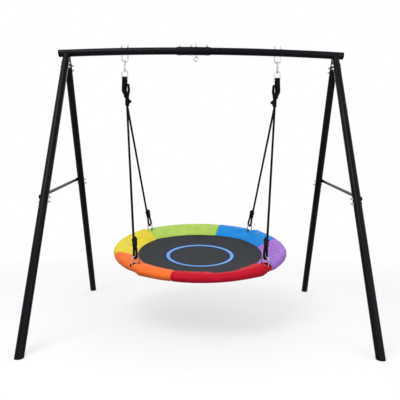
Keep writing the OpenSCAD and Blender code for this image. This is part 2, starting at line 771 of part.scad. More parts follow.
// Knot: a flat collar that takes the hank's two strands, wraps around the neck and an ear to the inside
module rope_knot(side) {
    first = hank_path[0];
    last = hank_path[len(hank_path) - 1];
    color(black) {
        translate([side * u_bolt_x, 0, knot_top - knot_collar_h]) for_side(left == side ? right : left)
            linear_extrude(knot_collar_h) union() {
                for (p = [first, last]) translate([p[0], p[1]]) circle(d = knot_collar_d);
                polygon([[first[0], first[1] - rope_d / 2], [last[0], first[1] - rope_d / 2],
                    [last[0], last[1] + rope_d / 2], [first[0], last[1] + rope_d / 2]]);
            }
        translate([side * knot_x, 0, knot_bottom]) {
            cylinder(h = knot_h - knot_collar_h, r = knot_core_r);
            for (i = [0:knot_wraps - 1]) translate([0, 0, knot_wrap_h * (i + 0.5)])
                bent_rod(knot_wrap_r, knot_wrap_h - knot_wrap_gap, 360);
            translate([-side * knot_ear_in, 0, knot_wrap_h * knot_wraps / 2]) rotate([90, 0, 0])
                rotate(side == left ? -90 : 90) bent_rod(knot_ear_r, rope_d, 180);
        }
    }
}

module rope(side, end) {
    color(black) tube_along(refine(rope_path(side, end), rope_ring_step), rope_d, rope_sides);
}

module adjusters(side) {
    color(black) for (end = ends) in_rope(side, end)
        translate([0, 0, adjuster_up - adjuster_len / 2]) difference() {
            union() {
                linear_extrude(adjuster_len) oblong(adjuster_w, adjuster_t);
                translate([0, 0, adjuster_len - adjuster_flange_h]) linear_extrude(adjuster_flange_h)
                    oblong(adjuster_w + 2 * adjuster_flange, adjuster_t + 2 * adjuster_flange);
            }
            for (s = sides) translate([s * strand_x, 0, -past])
                cylinder(h = adjuster_len + 2 * past, d = rope_d + adjuster_clear);
        }
}

module oblong(w, t) {
    for (s = sides) translate([s * (w - t) / 2, 0]) circle(d = t);
    square([w - t, t], center = true);
}

// Frame with its origin on a rim ring's top rod, Z up the rope and X across it
module in_rope(side, end) {
    o = ring_bar(side, end);
    u = rope_up(side, end);
    s = rope_across(side, end);
    f = cross(u, s);
    multmatrix([[s[0], f[0], u[0], o[0]], [s[1], f[1], u[1], o[1]], [s[2], f[2], u[2], o[2]]]) children();
}

// Saucer

module in_saucer_frame() {
    translate([0, 0, saucer_z]) rotate([saucer_tilt, 0, 0]) children();
}

module around(start, angle) {
    rotate(start) rotate_extrude(angle = angle) children();
}

module rim_tube(start) {
    inner = rim_od / 2 - rim_wall;
    spigot = inner - tube_clear;
    color(zinc) in_saucer_frame() difference() {
        union() {
            around(start, rim_quarter) translate([rim_r, 0]) difference() {
                circle(d = rim_od);
                circle(r = inner);
            }
            around(start - rim_spigot, 2 * rim_spigot) translate([rim_r, 0]) difference() {
                circle(r = spigot);
                circle(r = spigot - rim_wall);
            }
            around(start + rim_spigot / 2, rim_spigot / 2) translate([rim_r, 0]) difference() {
                circle(r = inner + rim_wall / 2);
                circle(r = spigot - rim_wall);
            }
        }
        for (a = [start, start + rim_quarter]) rim_screw_hole(a);
    }
}

module at_rim_screw(a) {
    rotate(a - rim_spigot / 2) translate([rim_r, 0, 0]) children();
}

module rim_screw_hole(a) {
    at_rim_screw(a) translate([0, 0, -rim_od]) cylinder(h = 2 * rim_od, d = rim_screw_d + hole_clear);
}

module rim_screws() {
    color(zinc) in_saucer_frame() for (i = [0:3]) at_rim_screw(i * rim_quarter) {
        translate([0, 0, -rim_od / 2]) cylinder(h = rim_od, d = rim_screw_d);
        translate([0, 0, rim_od / 2]) cylinder(h = rim_screw_head_h, d = rim_screw_head_d);
    }
}

// Oblong opening for each rim ring, from inside the cover's underside up through its top
module ring_slots(clear) {
    at_rim_rings() translate([-rim_ring_out / 2 - clear, -rim_ring_rod / 2 - clear, slot_low])
        cube([rim_ring_out + 2 * clear, rim_ring_rod + 2 * clear, 2 * rim_ring_up]);
}

// Frame at each rim ring with X along the rim's radius
module at_rim_rings() {
    for (i = [0:3]) rotate(ring_azimuth + rim_quarter * i) translate([rim_r, 0, 0]) children();
}

module rim_foam() {
    color("dimgray") in_saucer_frame() difference() {
        around(0, 360) translate([rim_r, 0]) difference() {
            circle(d = foam_od);
            circle(d = foam_bore);
        }
        ring_slots(slot_clear);
    }
}

module rim_rings() {
    color(zinc) in_saucer_frame() at_rim_rings() translate([0, 0, rim_ring_up])
        rod_link(rim_ring_w, rim_ring_up + rim_ring_low, rim_ring_corner, rim_ring_corner, rim_ring_rod);
}

// Crowned section of a padded cover, drawn in at its sewn inner edge
module cover_section(inset) {
    round_steps = 12;
    crown_steps = 10;
    half = cover_round - inset;
    edge = edge_half - inset / 2;
    reach = rim_r - cover_edge_r - inset;
    polygon(concat(
        [for (i = [0:round_steps]) let (a = -90 + 180 * i / round_steps)
            [cover_round_r + half * cos(a), half * sin(a)]],
        [for (i = [0:crown_steps]) let (fall = pow(i / crown_steps, cover_crown))
            [rim_r - reach * i / crown_steps, half - (half - edge + cover_drop) * fall]],
        [[rim_r - reach, -edge - cover_drop]]
    ));
}

module mat_section(extra) {
    points = [for (i = [0:mat_steps]) mat_r * i / mat_steps];
    polygon(concat(
        [for (r = points) [r, mat_z(r) + extra]],
        [for (i = [mat_steps:-1:0]) [points[i], mat_z(points[i]) - mat_t - extra]]
    ));
}

module cover(index, shade) {
    color(shade) in_saucer_frame() difference() {
        around(cover_seams[index] + cover_gap / 2, seam_after(index) - cover_seams[index] - cover_gap)
        difference() {
            cover_section(0);
            difference() {
                cover_section(cover_skin);
                mat_wedge();
            }
            mat_section(0);
        }
        ring_slots(slot_clear);
    }
}

// Stretch of the cover next to its inner edge that is sewn flat on the mat
module mat_wedge() {
    translate([cover_edge_r - past, -2 * cover_t]) square([mat_tuck + past - cover_skin, 4 * cover_t]);
}

module mat() {
    color("#3d3d40") in_saucer_frame() around(0, 360) mat_section(0);
}

// Whole object

crossbar(left);  // crossbar_left
crossbar(right);  // crossbar_right
crossbar_sleeve();
sleeve_bolts();
sleeve_nuts();
eye_bolt();
eye_bolt_nuts();
end_caps();
u_bolt(left);  // u_bolt_left
u_bolt(right);  // u_bolt_right
u_bolt_nuts();
upper_leg(left, front);  // upper_leg_front_left
upper_leg(right, front);  // upper_leg_front_right
upper_leg(left, rear);  // upper_leg_rear_left
upper_leg(right, rear);  // upper_leg_rear_right
lower_leg(left, front);  // lower_leg_front_left
lower_leg(right, front);  // lower_leg_front_right
lower_leg(left, rear);  // lower_leg_rear_left
lower_leg(right, rear);  // lower_leg_rear_right
brace(left);  // brace_left
brace(right);  // brace_right
socket_bolts();
socket_nuts();
joint_bolts();
joint_nuts();
foot_caps();
hook(left);  // hook_left
hook(right);  // hook_right
gate(left);  // gate_left
gate(right);  // gate_right
gate_pin(left);  // gate_pin_left
gate_pin(right);  // gate_pin_right
gate_spring(left);  // gate_spring_left
gate_spring(right);  // gate_spring_right
hang_ring(left);  // hang_ring_left
hang_ring(right);  // hang_ring_right
rope_hank(left);  // rope_hank_left
rope_hank(right);  // rope_hank_right
rope_knot(left);  // rope_knot_left
rope_knot(right);  // rope_knot_right
rope(left, front);  // rope_front_left
rope(right, front);  // rope_front_right
rope(left, rear);  // rope_rear_left
rope(right, rear);  // rope_rear_right
adjusters(left);  // adjusters_left
adjusters(right);  // adjusters_right
rim_tube(0);  // rim_tube_rear_right
rim_tube(rim_quarter);  // rim_tube_rear_left
rim_tube(2 * rim_quarter);  // rim_tube_front_left
rim_tube(3 * rim_quarter);  // rim_tube_front_right
rim_screws();
rim_foam();
rim_rings();
mat();
cover(0, "#c8142d");  // cover_red
cover(1, "#af7ddc");  // cover_purple
cover(2, "#1e91eb");  // cover_blue
cover(3, "#b4dc64");  // cover_green
cover(4, "#f0dc3c");  // cover_yellow
cover(5, "#ff6e32");  // cover_orange
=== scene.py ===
import json
import math

import bmesh
import bpy
import numpy as np
from mathutils import Matrix, Vector
from mathutils import noise as softField


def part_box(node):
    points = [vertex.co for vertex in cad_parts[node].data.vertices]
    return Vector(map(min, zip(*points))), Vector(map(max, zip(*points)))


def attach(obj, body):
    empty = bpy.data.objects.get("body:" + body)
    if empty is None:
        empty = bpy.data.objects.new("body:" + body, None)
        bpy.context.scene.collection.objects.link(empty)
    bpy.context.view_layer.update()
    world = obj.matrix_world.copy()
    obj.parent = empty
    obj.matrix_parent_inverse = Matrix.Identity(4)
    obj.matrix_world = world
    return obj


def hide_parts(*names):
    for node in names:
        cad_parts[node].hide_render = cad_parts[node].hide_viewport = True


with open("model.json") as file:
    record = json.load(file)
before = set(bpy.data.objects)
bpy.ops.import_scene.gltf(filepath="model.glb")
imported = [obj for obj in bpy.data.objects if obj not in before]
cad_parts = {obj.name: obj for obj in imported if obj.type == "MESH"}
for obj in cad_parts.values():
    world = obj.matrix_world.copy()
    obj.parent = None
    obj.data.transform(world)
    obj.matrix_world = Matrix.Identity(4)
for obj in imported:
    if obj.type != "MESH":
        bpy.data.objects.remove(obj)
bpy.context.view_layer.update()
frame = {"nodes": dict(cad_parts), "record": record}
nodes = frame["nodes"]
sides = {"left": -1, "right": 1}
ends = {"front": -1, "rear": 1}
print("frame loaded:", len(nodes), "nodes")


# scene helper
def link(obj):
    bpy.context.scene.collection.objects.link(obj)
    return obj


# camera
camera = {
    "place": (-0.0214, -2.6612, 0.7718),
    "lens": 37.44,
    "sensor": 36,
    "nearest": 0.01,
    "yaw": 0.414,  # degrees, to the right
    "pitch": -0.619,
    "roll": 0.388,
}


def placeCamera(size):
    data = bpy.data.cameras.new("camera")
    data.lens = size["lens"]
    data.sensor_width = size["sensor"]
    data.clip_start = size["nearest"]
    obj = link(bpy.data.objects.new("camera", data))
    turn = Matrix.Rotation(math.radians(-size["yaw"]), 4, "Z")
    turn = turn @ Matrix.Rotation(math.radians(90 + size["pitch"]), 4, "X")
    turn = turn @ Matrix.Rotation(math.radians(size["roll"]), 4, "Z")
    obj.matrix_world = Matrix.Translation(size["place"]) @ turn
    bpy.context.scene.camera = obj


placeCamera(camera)


# mesh helpers
def meshObject(name, points, faces, material, uv=None):
    mesh = bpy.data.meshes.new(name)
    mesh.from_pydata([tuple(p) for p in points], [], [tuple(f) for f in faces])
    if uv is not None:
        layer = mesh.uv_layers.new(name="UVMap")
        corner = np.zeros(len(mesh.loops), np.int32)
        mesh.loops.foreach_get("vertex_index", corner)
        layer.data.foreach_set("uv", np.asarray(uv, np.float32)[corner].ravel())
    mesh.materials.append(material)
    mesh.polygons.foreach_set("use_smooth", [True] * len(mesh.polygons))
    mesh.update()
    return link(bpy.data.objects.new(name, mesh))


def joinShapes(shapes):
    points, faces, uvs, start = [], [], [], 0
    for p, f, uv in shapes:
        points.append(p)
        faces.extend([tuple(i + start for i in face) for face in f])
        uvs.append(uv)
        start += len(p)
    return np.concatenate(points), faces, np.concatenate(uvs)


def unit(v):
    v = np.asarray(v, float)
    return v / np.linalg.norm(v, axis=-1, keepdims=True)


def resample(points, step):
    points = np.asarray(points, float)
    along = np.concatenate([[0], np.cumsum(np.linalg.norm(np.diff(points, axis=0), axis=1))])
    count = max(2, int(round(along[-1] / step)) + 1)
    at = np.linspace(0, along[-1], count)
    return np.stack([np.interp(at, along, points[:, k]) for k in range(3)], 1)


def smoothed(points, passes):
    # rounds the corners of an evenly spaced line, its ends stay
    p = np.array(points, float)
    for _ in range(passes):
        p[1:-1] = 0.5 * p[1:-1] + 0.25 * (p[:-2] + p[2:])
    return p


def pathFrames(path):
    # tangent and two normals at each point, turned as little as possible
    tangent = unit(np.gradient(path, axis=0))
    first = np.array([0.0, 1.0, 0.0]) if abs(tangent[0][1]) < 0.8 else np.array([1.0, 0.0, 0.0])
    normals = []
    n = first
    for t in tangent:
        n = unit(n - n.dot(t) * t)
        normals.append(n)
    normals = np.array(normals)
    return tangent, normals, np.cross(tangent, normals)


def tubeFaces(count, around, cap=True, closed=False):
    faces = []
    for i in range(count if closed else count - 1):
        a, b = i * around, ((i + 1) % count) * around
        for k in range(around):
            m = (k + 1) % around
            faces.append((a + k, a + m, b + m, b + k))
    if cap and not closed:
        faces.append(tuple(range(around - 1, -1, -1)))
        faces.append(tuple((count - 1) * around + k for k in range(around)))
    return faces


def tubeShape(path, radius, around):
    tangent, n, b = pathFrames(path)
    angle = np.linspace(0, 2 * np.pi, around, endpoint=False)
    radius = np.broadcast_to(np.asarray(radius, float), (len(path),))
    ring = np.cos(angle)[None, :, None] * n[:, None] + np.sin(angle)[None, :, None] * b[:, None]
    points = path[:, None] + radius[:, None, None] * ring
    along = np.concatenate([[0], np.cumsum(np.linalg.norm(np.diff(path, axis=0), axis=1))])
    uv = np.stack(np.broadcast_arrays(angle[None] / (2 * np.pi), along[:, None]), -1)
    return points.reshape(-1, 3), tubeFaces(len(path), around), uv.reshape(-1, 2)


def smoothStep(low, high, x):
    t = np.clip((x - low) / (high - low), 0, 1)
    return t * t * (3 - 2 * t)


def settle(piece, body, node=None):
    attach(piece, body)
    if node:
        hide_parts(node)


# finishes
def newFinish(name):
    material = bpy.data.materials.new(name)
    material.use_nodes = True
    return material, material.node_tree, material.node_tree.nodes["Principled BSDF"]


def addNode(tree, kind, inputs=None, **settings):
    made = tree.nodes.new(kind)
    for key, value in settings.items():
        setattr(made, key, value)
    for key, value in (inputs or {}).items():
        if isinstance(value, bpy.types.NodeSocket):
            tree.links.new(value, made.inputs[key])
        else:
            made.inputs[key].default_value = value
    return made


def shade(code, dim=1.0):
    # sRGB hex code to a linear colour
    values = [int(code[i : i + 2], 16) / 255 for i in (1, 3, 5)]
    linear = [v / 12.92 if v <= 0.04045 else ((v + 0.055) / 1.055) ** 2.4 for v in values]
    return tuple(v * dim for v in linear) + (1.0,)


def objectPlace(tree):
    return addNode(tree, "ShaderNodeTexCoord").outputs["Object"]


def uvPlace(tree):
    return addNode(tree, "ShaderNodeUVMap", uv_map="UVMap").outputs["UV"]


def noise(tree, place, scale, detail=4.0, rough=0.5):
    inputs = {"Vector": place, "Scale": scale, "Detail": detail, "Roughness": rough}
    return addNode(tree, "ShaderNodeTexNoise", inputs).outputs["Fac"]


def spread(tree, value, low, high, fromLow=0.0, fromHigh=1.0):
    inputs = {"Value": value, "From Min": fromLow, "From Max": fromHigh, "To Min": low, "To Max": high}
    return addNode(tree, "ShaderNodeMapRange", inputs).outputs["Result"]


def mixColour(tree, factor, a, b):
    made = addNode(tree, "ShaderNodeMix", data_type="RGBA")
    for index, value in ((0, factor), (6, a), (7, b)):
        if isinstance(value, bpy.types.NodeSocket):
            tree.links.new(value, made.inputs[index])
        else:
            made.inputs[index].default_value = value
    return made.outputs[2]


def maths(tree, operation, a, b=None):
    inputs = {0: a} if b is None else {0: a, 1: b}
    return addNode(tree, "ShaderNodeMath", inputs, operation=operation).outputs[0]


def bump(tree, shader, height, depth, strength=1.0, under=None):
    inputs = {"Height": height, "Distance": depth, "Strength": strength}
    if under is not None:
        inputs["Normal"] = under
    normal = addNode(tree, "ShaderNodeBump", inputs).outputs["Normal"]
    tree.links.new(normal, shader.inputs["Normal"])
    return normal


def gloss(shader, **sockets):
    for key, value in sockets.items():
        shader.inputs[key.replace("_", " ")].default_value = value


def paint(tree, shader, colour, roughness=None):
    tree.links.new(colour, shader.inputs["Base Color"])
    if roughness is not None:
        tree.links.new(roughness, shader.inputs["Roughness"])


def clouded(tree, value, size):
    factor = spread(tree, value, 0, 1, *size["mixSpan"]) if "mixSpan" in size else value
    return mixColour(tree, factor, shade(size["colour"]), shade(size["cloudColour"]))


# every noise is given by its scale, detail and roughness
steelCoat = {
    "colour": "#03050a",
    "cloudColour": "#070b15",
    "cloud": (9, 3),
    "mixSpan": (0.42, 0.75),
    "rough": (0.26, 0.38),
    "grain": (420, 2),
    "grainDepth": 0.00006,
    "grainShare": 0.5,
    "gloss": {"Specular_IOR_Level": 0.085},
}
zincPlate = {
    "colour": "#b9bdc2",
    "cloudColour": "#8d9196",
    "cloud": (38, 5, 0.6),
    "mixSpan": (0.35, 0.8),
    "rough": (0.2, 0.42),
    "grain": (900, 2),
    "grainDepth": 0.00004,
    "grainShare": 0.4,
    "gloss": {"Metallic": 1.0},
}
mouldedBlack = {
    "colour": "#08090a",
    "cloudColour": "#111214",
    "cloud": (60, 4),
    "mixSpan": (0.4, 0.8),
    "rough": (0.42, 0.58),
    "grain": (2600, 2),
    "grainDepth": 0.00005,
    "grainShare": 0.6,
    "gloss": {"Specular_IOR_Level": 0.12},
}
ropeYarn = {
    "colour": "#060607",
    "cloudColour": "#121315",
    "yarns": 5,
    "fray": (1500, 3),
    "frayShare": 0.5,
    "patch": (70, 3),
    "mixSpan": (0.3, 0.8),
    "rough": (0.62, 0.85),
    "depth": 0.0002,
    "depthShare": 0.7,
    "gloss": {"Specular_IOR_Level": 0.1},
}


def makeHardFinish(name, size):
    material, tree, shader = newFinish(name)
    place = objectPlace(tree)
    cloud = noise(tree, place, *size["cloud"])
    paint(tree, shader, clouded(tree, cloud, size), spread(tree, cloud, *size["rough"]))
    bump(tree, shader, noise(tree, place, *size["grain"]), size["grainDepth"], size["grainShare"])
    gloss(shader, **size["gloss"])
    return material


def makeRopeYarn(size):
    material, tree, shader = newFinish("braided_rope")
    split = addNode(tree, "ShaderNodeSeparateXYZ", {"Vector": uvPlace(tree)})
    yarn = maths(tree, "SINE", maths(tree, "MULTIPLY", split.outputs["X"], 2 * math.pi * size["yarns"]))
    solid = objectPlace(tree)
    fray = noise(tree, solid, *size["fray"])
    loose = maths(tree, "MULTIPLY", fray, size["frayShare"])
    height = maths(tree, "ADD", spread(tree, yarn, 0, 1, -1, 1), loose)
    patch = noise(tree, solid, *size["patch"])
    paint(tree, shader, clouded(tree, patch, size), spread(tree, fray, *size["rough"]))
    bump(tree, shader, height, size["depth"], size["depthShare"])
    gloss(shader, **size["gloss"])
    return material


blackCoat = makeHardFinish("black_powder_coat", steelCoat)
zinc = makeHardFinish("zinc_plate", zincPlate)
blackPlastic = makeHardFinish("moulded_black_plastic", mouldedBlack)
rope = makeRopeYarn(ropeYarn)
print("finishes for steel, zinc, plastic and rope")

# saucer frame: tilted about X through its centre
saucer = {"height": 0.437, "tilt": 10.5, "rimRadius": 0.508, "ringUp": 0.062, "ringAngle": 45.0}
tiltCos = math.cos(math.radians(saucer["tilt"]))
tiltSin = math.sin(math.radians(saucer["tilt"]))


def inSaucer(points):
    p = np.asarray(points, float)
    x, y, z = p[..., 0], p[..., 1], p[..., 2]
    return np.stack([x, y * tiltCos - z * tiltSin, saucer["height"] + y * tiltSin + z * tiltCos], -1)


# ropes: knot, down through the adjuster, round the rim ring's rod and back up to a short tail
ropes = {
    "diameter": 0.013,
    "knotX": 0.470,
    "knotExit": 0.0069,
    "knotBottom": 1.33835,
    "strandX": 0.0072,
    "loopRadius": 0.0118,
    "loopLeg": 0.020,
    "loopShift": 0.0007,  # right loops leave room for the rings' way
    "loopSteps": 8,
    "adjusterUp": 0.082,
    "adjusterLen": 0.040,
    "tailUp": 0.030,
    "step": 0.0022,
    "pitch": 0.046,
    "strands": 4,  # each way round
    "strandRadius": 0.0048,
    "weave": 0.0007,
    "strandWide": 0.0033,
    "strandThick": 0.0018,
    "strandSides": 6,
    "coreRadius": 0.0047,
    "coreSides": 10,
    "routeStep": 0.003,
    "routePasses": 12,
}


def braidShape(path, size):
    # strands that cross over and under one another round a plain core
    path = resample(path, size["step"])
    tangent, n, b = pathFrames(path)
    along = np.concatenate([[0], np.cumsum(np.linalg.norm(np.diff(path, axis=0), axis=1))])
    around = size["strandSides"]
    section = np.linspace(0, 2 * np.pi, around, endpoint=False)
    shapes = [tubeShape(path, size["coreRadius"], size["coreSides"])]
    turn = 2 * np.pi * along / size["pitch"]
    wave = np.cos(2 * size["strands"] * turn)
    for way in (1, -1):
        for k in range(size["strands"]):
            phase = way * turn + 2 * np.pi * k / size["strands"]
            out = np.cos(phase)[:, None] * n + np.sin(phase)[:, None] * b
            side = -np.sin(phase)[:, None] * n + np.cos(phase)[:, None] * b
            middle = path + (size["strandRadius"] + way * size["weave"] * wave)[:, None] * out
            ring = (
                size["strandThick"] * np.cos(section)[None, :, None] * out[:, None]
                + size["strandWide"] * np.sin(section)[None, :, None] * side[:, None]
            )
            points = (middle[:, None] + ring).reshape(-1, 3)
            uv = np.stack(np.broadcast_arrays(section[None] / (2 * np.pi), along[:, None]), -1)
            shapes.append((points, tubeFaces(len(path), around), uv.reshape(-1, 2)))
    return joinShapes(shapes), path, along[-1]


def ropeRoute(side, end, size):
    at = saucer["rimRadius"] * math.cos(math.radians(saucer["ringAngle"]))
    bar = inSaucer((side * at, end * at, saucer["ringUp"]))
    top = np.array([side * size["knotX"], end * size["knotExit"], size["knotBottom"]])
    up = unit(top - bar)
    along = inSaucer((1, -side * end, 0)) - inSaucer((0, 0, 0))
    across = unit(along - along.dot(up) * up)
    bar = bar - max(side, 0) * size["loopShift"] * across
    low, high = size["adjusterUp"] - size["adjusterLen"] / 2, size["adjusterUp"] + size["adjusterLen"]
    bow = np.linspace(0, np.pi, size["loopSteps"] + 1)
    route = [(size["strandX"], high), (size["strandX"], low), (size["loopRadius"], size["loopLeg"])]
    route += [(size["loopRadius"] * math.cos(a), -size["loopRadius"] * math.sin(a)) for a in bow]
    route += [(-size["loopRadius"], size["loopLeg"]), (-size["strandX"], low)]
    route += [(-size["strandX"], size["adjusterUp"] + size["tailUp"])]
    return np.array([top] + [bar + side * x * across + y * up for x, y in route])


def layRope(name, route, body, node):
    (points, faces, uv), path, length = braidShape(route, ropes)
    piece = meshObject(name, points, faces, rope, uv)
    settle(piece, body, node)


def hangRopes(size):
    for sideName, side in sides.items():
        for endName, end in ends.items():
            route = resample(ropeRoute(side, end, size), size["routeStep"])
            route = smoothed(route, size["routePasses"])
            node = f"rope_{endName}_{sideName}"
            layRope(node + "_braid", route, f"rope_{sideName}", node)


hangRopes(ropes)
print("four ropes braided")

# hanks: two loops over the hang ring's bar and a short one beside them, drawn in over the knot
hanks = {
    "middleX": 0.486,
    "top": 1.52135,
    "low": 1.3965,
    "bow": 0.010,
    "mainLoops": 2,
    "loops": 3,
    "pitch": 0.015,
    "gather": 0.006,  # the second loop leans to the first on its way down
    "gatherOver": 0.085,
    "gatherTurns": (0.5, 1.5),
    "sideX": 0.0225,
    "sideHeight": 0.079,
    "sideOut": 0.003,
    "sideTurn": 0.2,
    "drawnFrom": 0.040,
    "drawnTo": 0.4,
    "startTurn": 0.13,
    "ringsPerLoop": 48,
    "knotTop": 1.39835,
    "passes": 2,
}


def hankX(t, z, size):
    # inwards from the middle of the ring's bar
    x = size["pitch"] * (t - size["mainLoops"] / 2)
    lean = smoothStep(0, size["gatherOver"], size["top"] - z) * smoothStep(*size["gatherTurns"], t)
    x = x - size["gather"] * lean
    if t > size["mainLoops"]:
        bow = math.sin(math.pi * (z - size["low"]) / size["sideHeight"])
        bowed = size["sideX"] + size["sideOut"] * bow
        x += (bowed - x) * smoothStep(0, size["sideTurn"], t - size["mainLoops"])
    free = smoothStep(0, size["drawnFrom"], z - size["knotTop"])
    inward = size["middleX"] - ropes["knotX"]
    return inward + (x - inward) * (size["drawnTo"] + (1 - size["drawnTo"]) * free)


def hankPoint(t, size):
    # foot at whole turns, front strand, top at the half turn, rear strand
    bow, u = size["bow"], t - math.floor(t)
    top = size["low"] + size["sideHeight"] if t > size["mainLoops"] else size["top"]
    foot, head = size["low"] + bow, top - bow
    bend = 4 * math.pi
    if u < 0.125:
        y, z = -bow * math.sin(bend * u), foot - bow * math.cos(bend * u)
    elif u < 0.375:
        y, z = -bow, foot + (head - foot) * (u - 0.125) / 0.25
    elif u < 0.625:
        y, z = -bow * math.cos(bend * (u - 0.375)), head + bow * math.sin(bend * (u - 0.375))
    elif u < 0.875:
        y, z = bow, head + (foot - head) * (u - 0.625) / 0.25
    else:
        y, z = bow * math.cos(bend * (u - 0.875)), foot - bow * math.sin(bend * (u - 0.875))
    return hankX(t, z, size), y, z


def hankPath(side, size):
    # x grows towards the middle of the swing on both sides
    count = round((size["loops"] - 2 * size["startTurn"]) * size["ringsPerLoop"])
    turns = np.linspace(size["startTurn"], size["loops"] - size["startTurn"], count + 1)
    points = [hankPoint(t, size) for t in turns]
    first, last = points[0], points[-1]
    points = [(first[0], first[1], size["knotTop"])] + points + [(last[0], last[1], size["knotTop"])]
    return np.array([(side * (size["middleX"] - x), y, z) for x, y, z in points])


def windHanks(size):
    for sideName, side in sides.items():
        route = smoothed(resample(hankPath(side, size), ropes["routeStep"]), size["passes"])
        layRope(f"hank_{sideName}_braid", route, f"rope_{sideName}", f"rope_hank_{sideName}")


windHanks(hanks)
print("two hanks wound")

# knots: wraps round the neck, the hank's two ends drawn into it and an ear to the inside
knots = {
    "neckHeight": 0.052,
    "wraps": 5,
    "wrapPoints": 40,  # in each turn
    "wrapRadius": 0.0085,
    "squeeze": 0.78,
    "coreRadius": 0.0080,
    "coreLow": 0.001,
    "coreRings": 12,
    "coreSides": 16,
    "step": 0.002,
    # inwards from the neck's axis and up from its middle
    "ear": ((0.000, 0.024), (0.010, 0.0135), (0.0235, 0.0035), (0.010, -0.0065), (0.000, -0.016)),
    "earSqueeze": 0.85,
    "earPasses": 2,
    # height under the hank's ends, and how much of their distance from the neck is left there
    "legs": ((0.002, 0.94), (0.006, 0.66), (0.010, 0.40), (0.016, 0.22), (0.026, 0.14)),
    "legLap": 0.002,
    "legSqueeze": 0.97,
    "legPasses": 3,
}


def squeezed(size, factor):
    kept = ("strands", "strandSides", "coreSides", "step")
    return {key: value if key in kept else value * factor for key, value in size.items()}


def tieKnots(size):
    bottom = ropes["knotBottom"]
    for sideName, side in sides.items():
        axis = np.array([side * ropes["knotX"], 0, 0])
        turn = np.linspace(0, 2 * np.pi * size["wraps"], size["wrapPoints"] * size["wraps"])
        ropeRadius = ropes["diameter"] / 2 * size["squeeze"]
        rise = np.linspace(ropeRadius, size["neckHeight"] - ropeRadius, len(turn))
        helix = np.stack([np.cos(turn), np.sin(turn), 0 * turn], 1) * size["wrapRadius"]
        helix[:, 2] = bottom + rise
        shapes = [braidShape(helix + axis, squeezed(ropes, size["squeeze"]))[0]]
        middle = bottom + size["neckHeight"] / 2
        ear = [(side * (ropes["knotX"] - inward), 0, middle + up) for inward, up in size["ear"]]
        ear = smoothed(resample(ear, size["step"]), size["earPasses"])
        shapes.append(braidShape(ear, squeezed(ropes, size["earSqueeze"]))[0])
        for start in hankPath(side, hanks)[[0, -1]]:
            leg = [start + (0, 0, size["legLap"])]
            for drop, left in size["legs"]:
                spot = axis + (start - axis) * (left, left, 0)
                leg.append((spot[0], spot[1], hanks["knotTop"] - drop))
            leg = smoothed(resample(leg, size["step"]), size["legPasses"])
            shapes.append(braidShape(leg, squeezed(ropes, size["legSqueeze"]))[0])
        heights = np.linspace(size["coreLow"], size["neckHeight"], size["coreRings"])
        core = np.array([axis + (0, 0, bottom + z) for z in heights])
        shapes.append(tubeShape(core, size["coreRadius"], size["coreSides"]))
        points, faces, uv = joinShapes(shapes)
        piece = meshObject(f"knot_{sideName}_wraps", points, faces, rope, uv)
        settle(piece, f"rope_{sideName}", f"rope_knot_{sideName}")


tieKnots(knots)
print("two knots tied")

# cloth finishes
clothColours = {
    "red": "#c8142d",
    "purple": "#af7ddc",
    "blue": "#2090e4",
    "green": "#b8da64",
    "yellow": "#f0dc3c",
    "orange": "#ff7a35",
}
oxford = {
    "thread": 0.0011,
    "depth": 0.00022,
    "depthShare": 0.6,
    "rough": (0.48, 0.64),
    "cloud": (14, 5, 0.55),
    "mixSpan": (0.3, 0.72),
    "dim": 0.86,
    "threadShadeDim": 0.62,  # painted shade between the threads
    "threadShadeShare": 0.2,
    "threadShadeSpan": (0, 0.9),
    "crease": (34, 4),
    "creaseDepth": 0.0012,
    "creaseShare": 0.5,
    "gloss": {"Specular_IOR_Level": 0.09},
}
sewingThread = {
    "twist": (1800, 2),
    "mixSpan": (0.3, 0.7),
    "dims": (0.6, 0.85),
    "rough": (0.55, 0.75),
    "gloss": {"Specular_IOR_Level": 0.15},
}
# near-black finish for the slit's turned-in hem: the dark foam seen through the slit, with the shade inside
# the slit painted in
foamAndShadeLining = {
    "colour": "#0b0b0c",
    "cloudColour": "#1a1a1c",
    "cloud": (220, 3),
    "depth": 0.0003,
    "depthShare": 0.5,
    "gloss": {"Roughness": 0.9, "Specular_IOR_Level": 0.05},
}


def weaveHeight(tree, place, thread):
    # warp and weft that pass over one another like a checkerboard of small humps
    split = addNode(tree, "ShaderNodeSeparateXYZ", {"Vector": place})
    wave = math.pi / thread
    across = maths(tree, "SINE", maths(tree, "MULTIPLY", split.outputs["X"], wave))
    along = maths(tree, "SINE", maths(tree, "MULTIPLY", split.outputs["Y"], wave))
    return maths(tree, "ABSOLUTE", maths(tree, "ADD", across, along))


def makeOxford(name, code, size):
    material, tree, shader = newFinish(f"cover_cloth_{name}")
    solid = objectPlace(tree)
    weave = weaveHeight(tree, uvPlace(tree), size["thread"])
    cloud = noise(tree, solid, *size["cloud"])
    factor = spread(tree, cloud, 0, 1, *size["mixSpan"])
    worn = mixColour(tree, factor, shade(code, size["dim"]), shade(code))
    # painted shade: the cloth's colour darkens where the weave is low, between the threads
    factor = spread(tree, weave, size["threadShadeShare"], 0, *size["threadShadeSpan"])
    threadShaded = mixColour(tree, factor, worn, shade(code, size["threadShadeDim"]))
    paint(tree, shader, threadShaded, spread(tree, cloud, *size["rough"]))
    inputs = {"Height": noise(tree, solid, *size["crease"])}
    inputs.update({"Distance": size["creaseDepth"], "Strength": size["creaseShare"]})
    crease = addNode(tree, "ShaderNodeBump", inputs).outputs["Normal"]
    bump(tree, shader, weave, size["depth"], size["depthShare"], crease)
    gloss(shader, **size["gloss"])
    return material


def makeThread(name, code, size):
    material, tree, shader = newFinish(f"thread_{name}")
    twist = noise(tree, objectPlace(tree), *size["twist"])
    dark, pale = [shade(code, dim) for dim in size["dims"]]
    colour = mixColour(tree, spread(tree, twist, 0, 1, *size["mixSpan"]), dark, pale)
    paint(tree, shader, colour, spread(tree, twist, *size["rough"]))
    gloss(shader, **size["gloss"])
    return material


